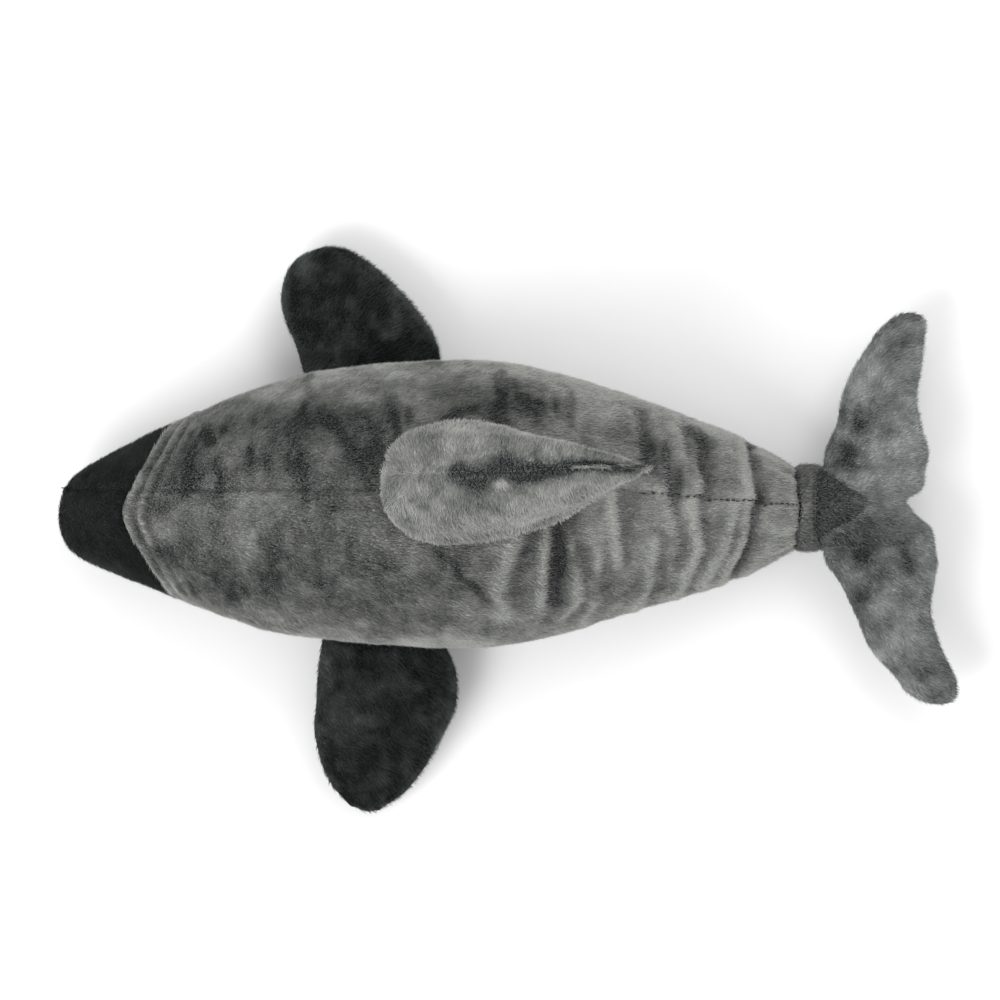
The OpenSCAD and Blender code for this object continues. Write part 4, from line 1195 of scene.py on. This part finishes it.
class PLUSH_OT_thread(bpy.types.Operator):
    """Sews the stitches of the back seam, the mouth line and the hand-closed slit"""
    bl_idname = "plush.thread"
    bl_label = "Stitches"
    bl_options = {"REGISTER", "UNDO"}

    def execute(self, context):
        dyes = context.scene.plush_dyes
        finishes = []
        for name, tint in (("Dark thread", dyes.thread), ("Closing thread", dyes.closing_thread)):
            finish, main = shader(name, None, 0.6)
            with_group(finish, main, thread_group(), 0.5, 0.0002, Tint=tuple(tint) + (1,))
            finishes.append(finish)
        u = np.arange(*BACK_STITCHES)
        put_stitches("back_seam_thread", "back_seam_stitches", body_point(u, back_seam(u)),
                     body_point(u + 0.05, back_seam(u + 0.05)), finishes[0], lift=1.9)

        def mouth(angle):
            return 2.25 - 0.75 * np.cos(np.radians(angle - 270)) ** 2

        a = np.arange(*MOUTH_STITCHES)
        put_stitches("mouth_thread", "mouth_stitches", body_point(mouth(a), np.radians(a)),
                     body_point(mouth(a + 3), np.radians(a + 3)), finishes[0], lift=2.3)
        u = np.arange(*CLOSING_STITCHES)
        seam, off = np.pi - side_seam(u), 0.026
        put_stitches("closing_thread", "closing_stitches", body_point(u, seam - off),
                     body_point(u + 0.02, seam + off), finishes[1], lift=2.3)
        return {"FINISHED"}


def tape_group():
    """Woven tape: two crossed sets of fine ribs, with painted shade between them."""
    group, get, put, place = new_group("Woven Tape", Tint=even(0.8), Rib_Scale=500.0)
    ribs = []
    for direction in ("X", "Z"):
        wave = add_node(group, "ShaderNodeTexWave", bands_direction=direction)
        group.links.new(place, wave.inputs["Vector"])
        group.links.new(get.outputs["Rib Scale"], wave.inputs["Scale"])
        ribs.append(wave.outputs["Fac"])
    weave = value_node(group, "MULTIPLY", ribs[0], ribs[1])
    colour = colour_times(group, get.outputs["Tint"], value_node(group, "MULTIPLY_ADD", weave, 0.3, 0.7))
    return give(group, put, colour, value_node(group, "MULTIPLY_ADD", weave, 0.15, 0.6), weave)


class PLUSH_OT_label(bpy.types.Operator):
    """Folds the blank tape that hangs from the left side seam"""
    bl_idname = "plush.label"
    bl_label = "Blank label"
    bl_options = {"REGISTER", "UNDO"}

    def execute(self, context):
        low, high = (np.array(corner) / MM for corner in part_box("care_label"))
        centre = (low + high) / 2
        width, height, turn = 18.0, high[2] - low[2], np.radians(16)
        # the folded tape: down the near side, round the fold and up the far side
        s = np.linspace(0, 1, 41)
        near_end, far_start, fold_share, gap = 0.44, 0.56, 0.12, 0.55
        bend = np.clip((s - near_end) / fold_share, 0, 1) * np.pi
        out = gap * np.cos(bend)
        down = np.where(s < near_end, s / near_end, np.where(s > far_start, (1 - s) / near_end, 1.0))
        down = down * (height - 1) + gap * np.sin(bend)
        z = high[2] - down
        curl = 1.6 * (down / height) ** 2
        normal = unit(np.stack([np.gradient(z), -np.gradient(out + curl)], -1))
        across = np.linspace(-0.5, 0.5, 15)
        wave = 0.35 * np.sin(3 * across)[None, :] * (down / height)[:, None]

        def tape(offset):
            y = -(out + curl + offset * normal[:, 0])[:, None] + wave
            x = across[None, :] * width + 0 * y
            height_at = (z + offset * normal[:, 1])[:, None] + 0 * y
            return np.stack([centre[0] + x * np.cos(turn) - y * np.sin(turn),
                             centre[1] + x * np.sin(turn) + y * np.cos(turn), height_at], -1)

        finish, main = shader("Woven label tape", None, 0.7, 0.15)
        with_group(finish, main, tape_group(), 0.5, 0.0002, Tint=tuple(context.scene.plush_dyes.tape) + (1,))
        half_t = 0.2
        piece = put_cloth("label_tape", tape(half_t), tape(-half_t), finish, np.zeros((len(s), len(across))))
        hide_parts("care_label")
        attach(piece, "torso")
        return {"FINISHED"}


def moulded_group():
    """Moulded plastic: an even colour with faint flow marks, and handling haze in its roughness."""
    group, get, put, place = new_group("Moulded Plastic", Tint=even(0.5), Flow=even(0.4), Haze=0.1, Gloss=0.2)
    flow = noise_node(group, place, 160.0, 3, 0.5)
    haze = noise_node(group, place, 420.0, 2, 0.6)
    colour = colour_mix(group, flow, get.outputs["Flow"], get.outputs["Tint"])
    rough = value_node(group, "MULTIPLY_ADD", haze, get.outputs["Haze"], get.outputs["Gloss"])
    return give(group, put, colour, rough, haze)


class PLUSH_OT_eyes(bpy.types.Operator):
    """Finishes the two moulded eyes and the washers that hold them"""
    bl_idname = "plush.eyes"
    bl_label = "Eyes and washers"
    bl_options = {"REGISTER", "UNDO"}

    def execute(self, context):
        dyes = context.scene.plush_dyes
        group = moulded_group()
        for name, tint, gloss, haze, coat, nodes in (
                ("Eye plastic", dyes.eye, 0.06, 0.1, 0.8, ("right_eye", "left_eye")),
                ("Washer plastic", dyes.washer, 0.35, 0.2, 0.0, ("right_eye_washer", "left_eye_washer"))):
            finish, main = shader(name, None, gloss, coat=coat)
            with_group(finish, main, group, 0.05, 0.0001, Tint=tuple(tint) + (1,),
                       Flow=tuple(0.8 * c for c in tint) + (1,), Haze=haze, Gloss=gloss)
            for node in nodes:
                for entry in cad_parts[node].material_slots:
                    entry.material = finish
        return {"FINISHED"}


def aim(thing, place, target):
    """Puts a lamp or the camera at a place, facing a target."""
    thing.location = place
    way = np.array(target, float) - np.array(place, float)
    thing.rotation_euler = Vector(way).to_track_quat("-Z", "Y").to_euler()


class PLUSH_OT_stage(bpy.types.Operator):
    """Sets the pale floor, the soft lamps and the camera straight above"""
    bl_idname = "plush.stage"
    bl_label = "Stage"
    bl_options = {"REGISTER", "UNDO"}

    def execute(self, context):
        stage, scene = context.scene.plush_stage, context.scene
        finish, main = shader("Pale floor", None, 0.9)
        tree = finish.node_tree
        place = add_node(tree, "ShaderNodeTexCoord").outputs["Object"]
        grain = noise_node(tree, place, 30.0, 3, 0.5)
        low, high = add_node(tree, "ShaderNodeRGB"), add_node(tree, "ShaderNodeRGB")
        low.outputs[0].default_value = tuple(0.985 * c for c in stage.floor) + (1,)
        high.outputs[0].default_value = tuple(stage.floor) + (1,)
        tree.links.new(colour_mix(tree, grain, low.outputs[0], high.outputs[0]), main.inputs["Base Color"])
        reach = np.linspace(-FLOOR_REACH, FLOOR_REACH, FLOOR_POINTS)
        x, y = np.meshgrid(reach, reach, indexing="ij")
        floor = put_mesh("floor", np.stack([x, y, 0 * x], -1).reshape(-1, 3),
                         grid_faces(FLOOR_POINTS, FLOOR_POINTS)[:, ::-1], [finish])
        world = bpy.data.worlds.new("Room")
        world.use_nodes = True
        light = world.node_tree.nodes["Background"]
        light.inputs["Color"].default_value = (1, 1, 1, 1)
        light.inputs["Strength"].default_value = stage.room
        scene.world = world
        lo, hi = np.array(CAD_BOX)
        middle = (lo + hi) / 2
        for name, power, side, place in (("key", stage.key_power, 1.3, (-1.1, -1.1, 1.9)),
                                         ("fill", stage.fill_power, 1.6, (0.9, 1.5, 2.0))):
            lamp = bpy.data.lights.new(name, "AREA")
            lamp.energy, lamp.size = power, side
            piece = bpy.data.objects.new(name, lamp)
            scene.collection.objects.link(piece)
            aim(piece, place, middle)
        data = bpy.data.cameras.new("overhead")
        data.lens = stage.lens
        data.clip_end = 50
        camera = bpy.data.objects.new("overhead", data)
        scene.collection.objects.link(camera)
        # the camera stands so far up that the view has its full width at the height of the fins
        x, y, z = VIEW_MIDDLE
        camera.location = (x, y, z + VIEW_W * stage.lens / data.sensor_width)
        scene.camera = camera
        scene.view_settings.view_transform = "Standard"
        return {"FINISHED"}


STEPS = (PLUSH_OT_body, PLUSH_OT_back_fin, PLUSH_OT_side_fins, PLUSH_OT_tail, PLUSH_OT_wadding,
         PLUSH_OT_thread, PLUSH_OT_label, PLUSH_OT_eyes, PLUSH_OT_stage)


class PLUSH_PT_panel(bpy.types.Panel):
    """Lists the parts of the plush shark and their settings"""
    bl_label = "Plush Shark"
    bl_idname = "PLUSH_PT_panel"
    bl_space_type = "VIEW_3D"
    bl_region_type = "UI"
    bl_category = "Plush Shark"

    def draw(self, context):
        column = self.layout.column(align=True)
        for step in STEPS:
            column.operator(step.bl_idname)
        for group in (context.scene.plush_sizes, context.scene.plush_dyes, context.scene.plush_stage):
            box = self.layout.box()
            for key in group.__annotations__:
                box.prop(group, key)


CLASSES = (PlushSizes, PlushDyes, StageSizes) + STEPS + (PLUSH_PT_panel,)
SETTINGS = (("plush_sizes", PlushSizes), ("plush_dyes", PlushDyes), ("plush_stage", StageSizes))


def register():
    for item in CLASSES:
        bpy.utils.register_class(item)
    for name, group in SETTINGS:
        setattr(bpy.types.Scene, name, bpy.props.PointerProperty(type=group))


def unregister():
    for name, _ in SETTINGS:
        delattr(bpy.types.Scene, name)
    for item in reversed(CLASSES):
        bpy.utils.unregister_class(item)


def main():
    """Builds everything in order."""
    register()
    for step in STEPS:
        group, name = step.bl_idname.split(".")
        getattr(getattr(bpy.ops, group), name)()
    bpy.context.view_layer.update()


if __name__ == "__main__":
    main()
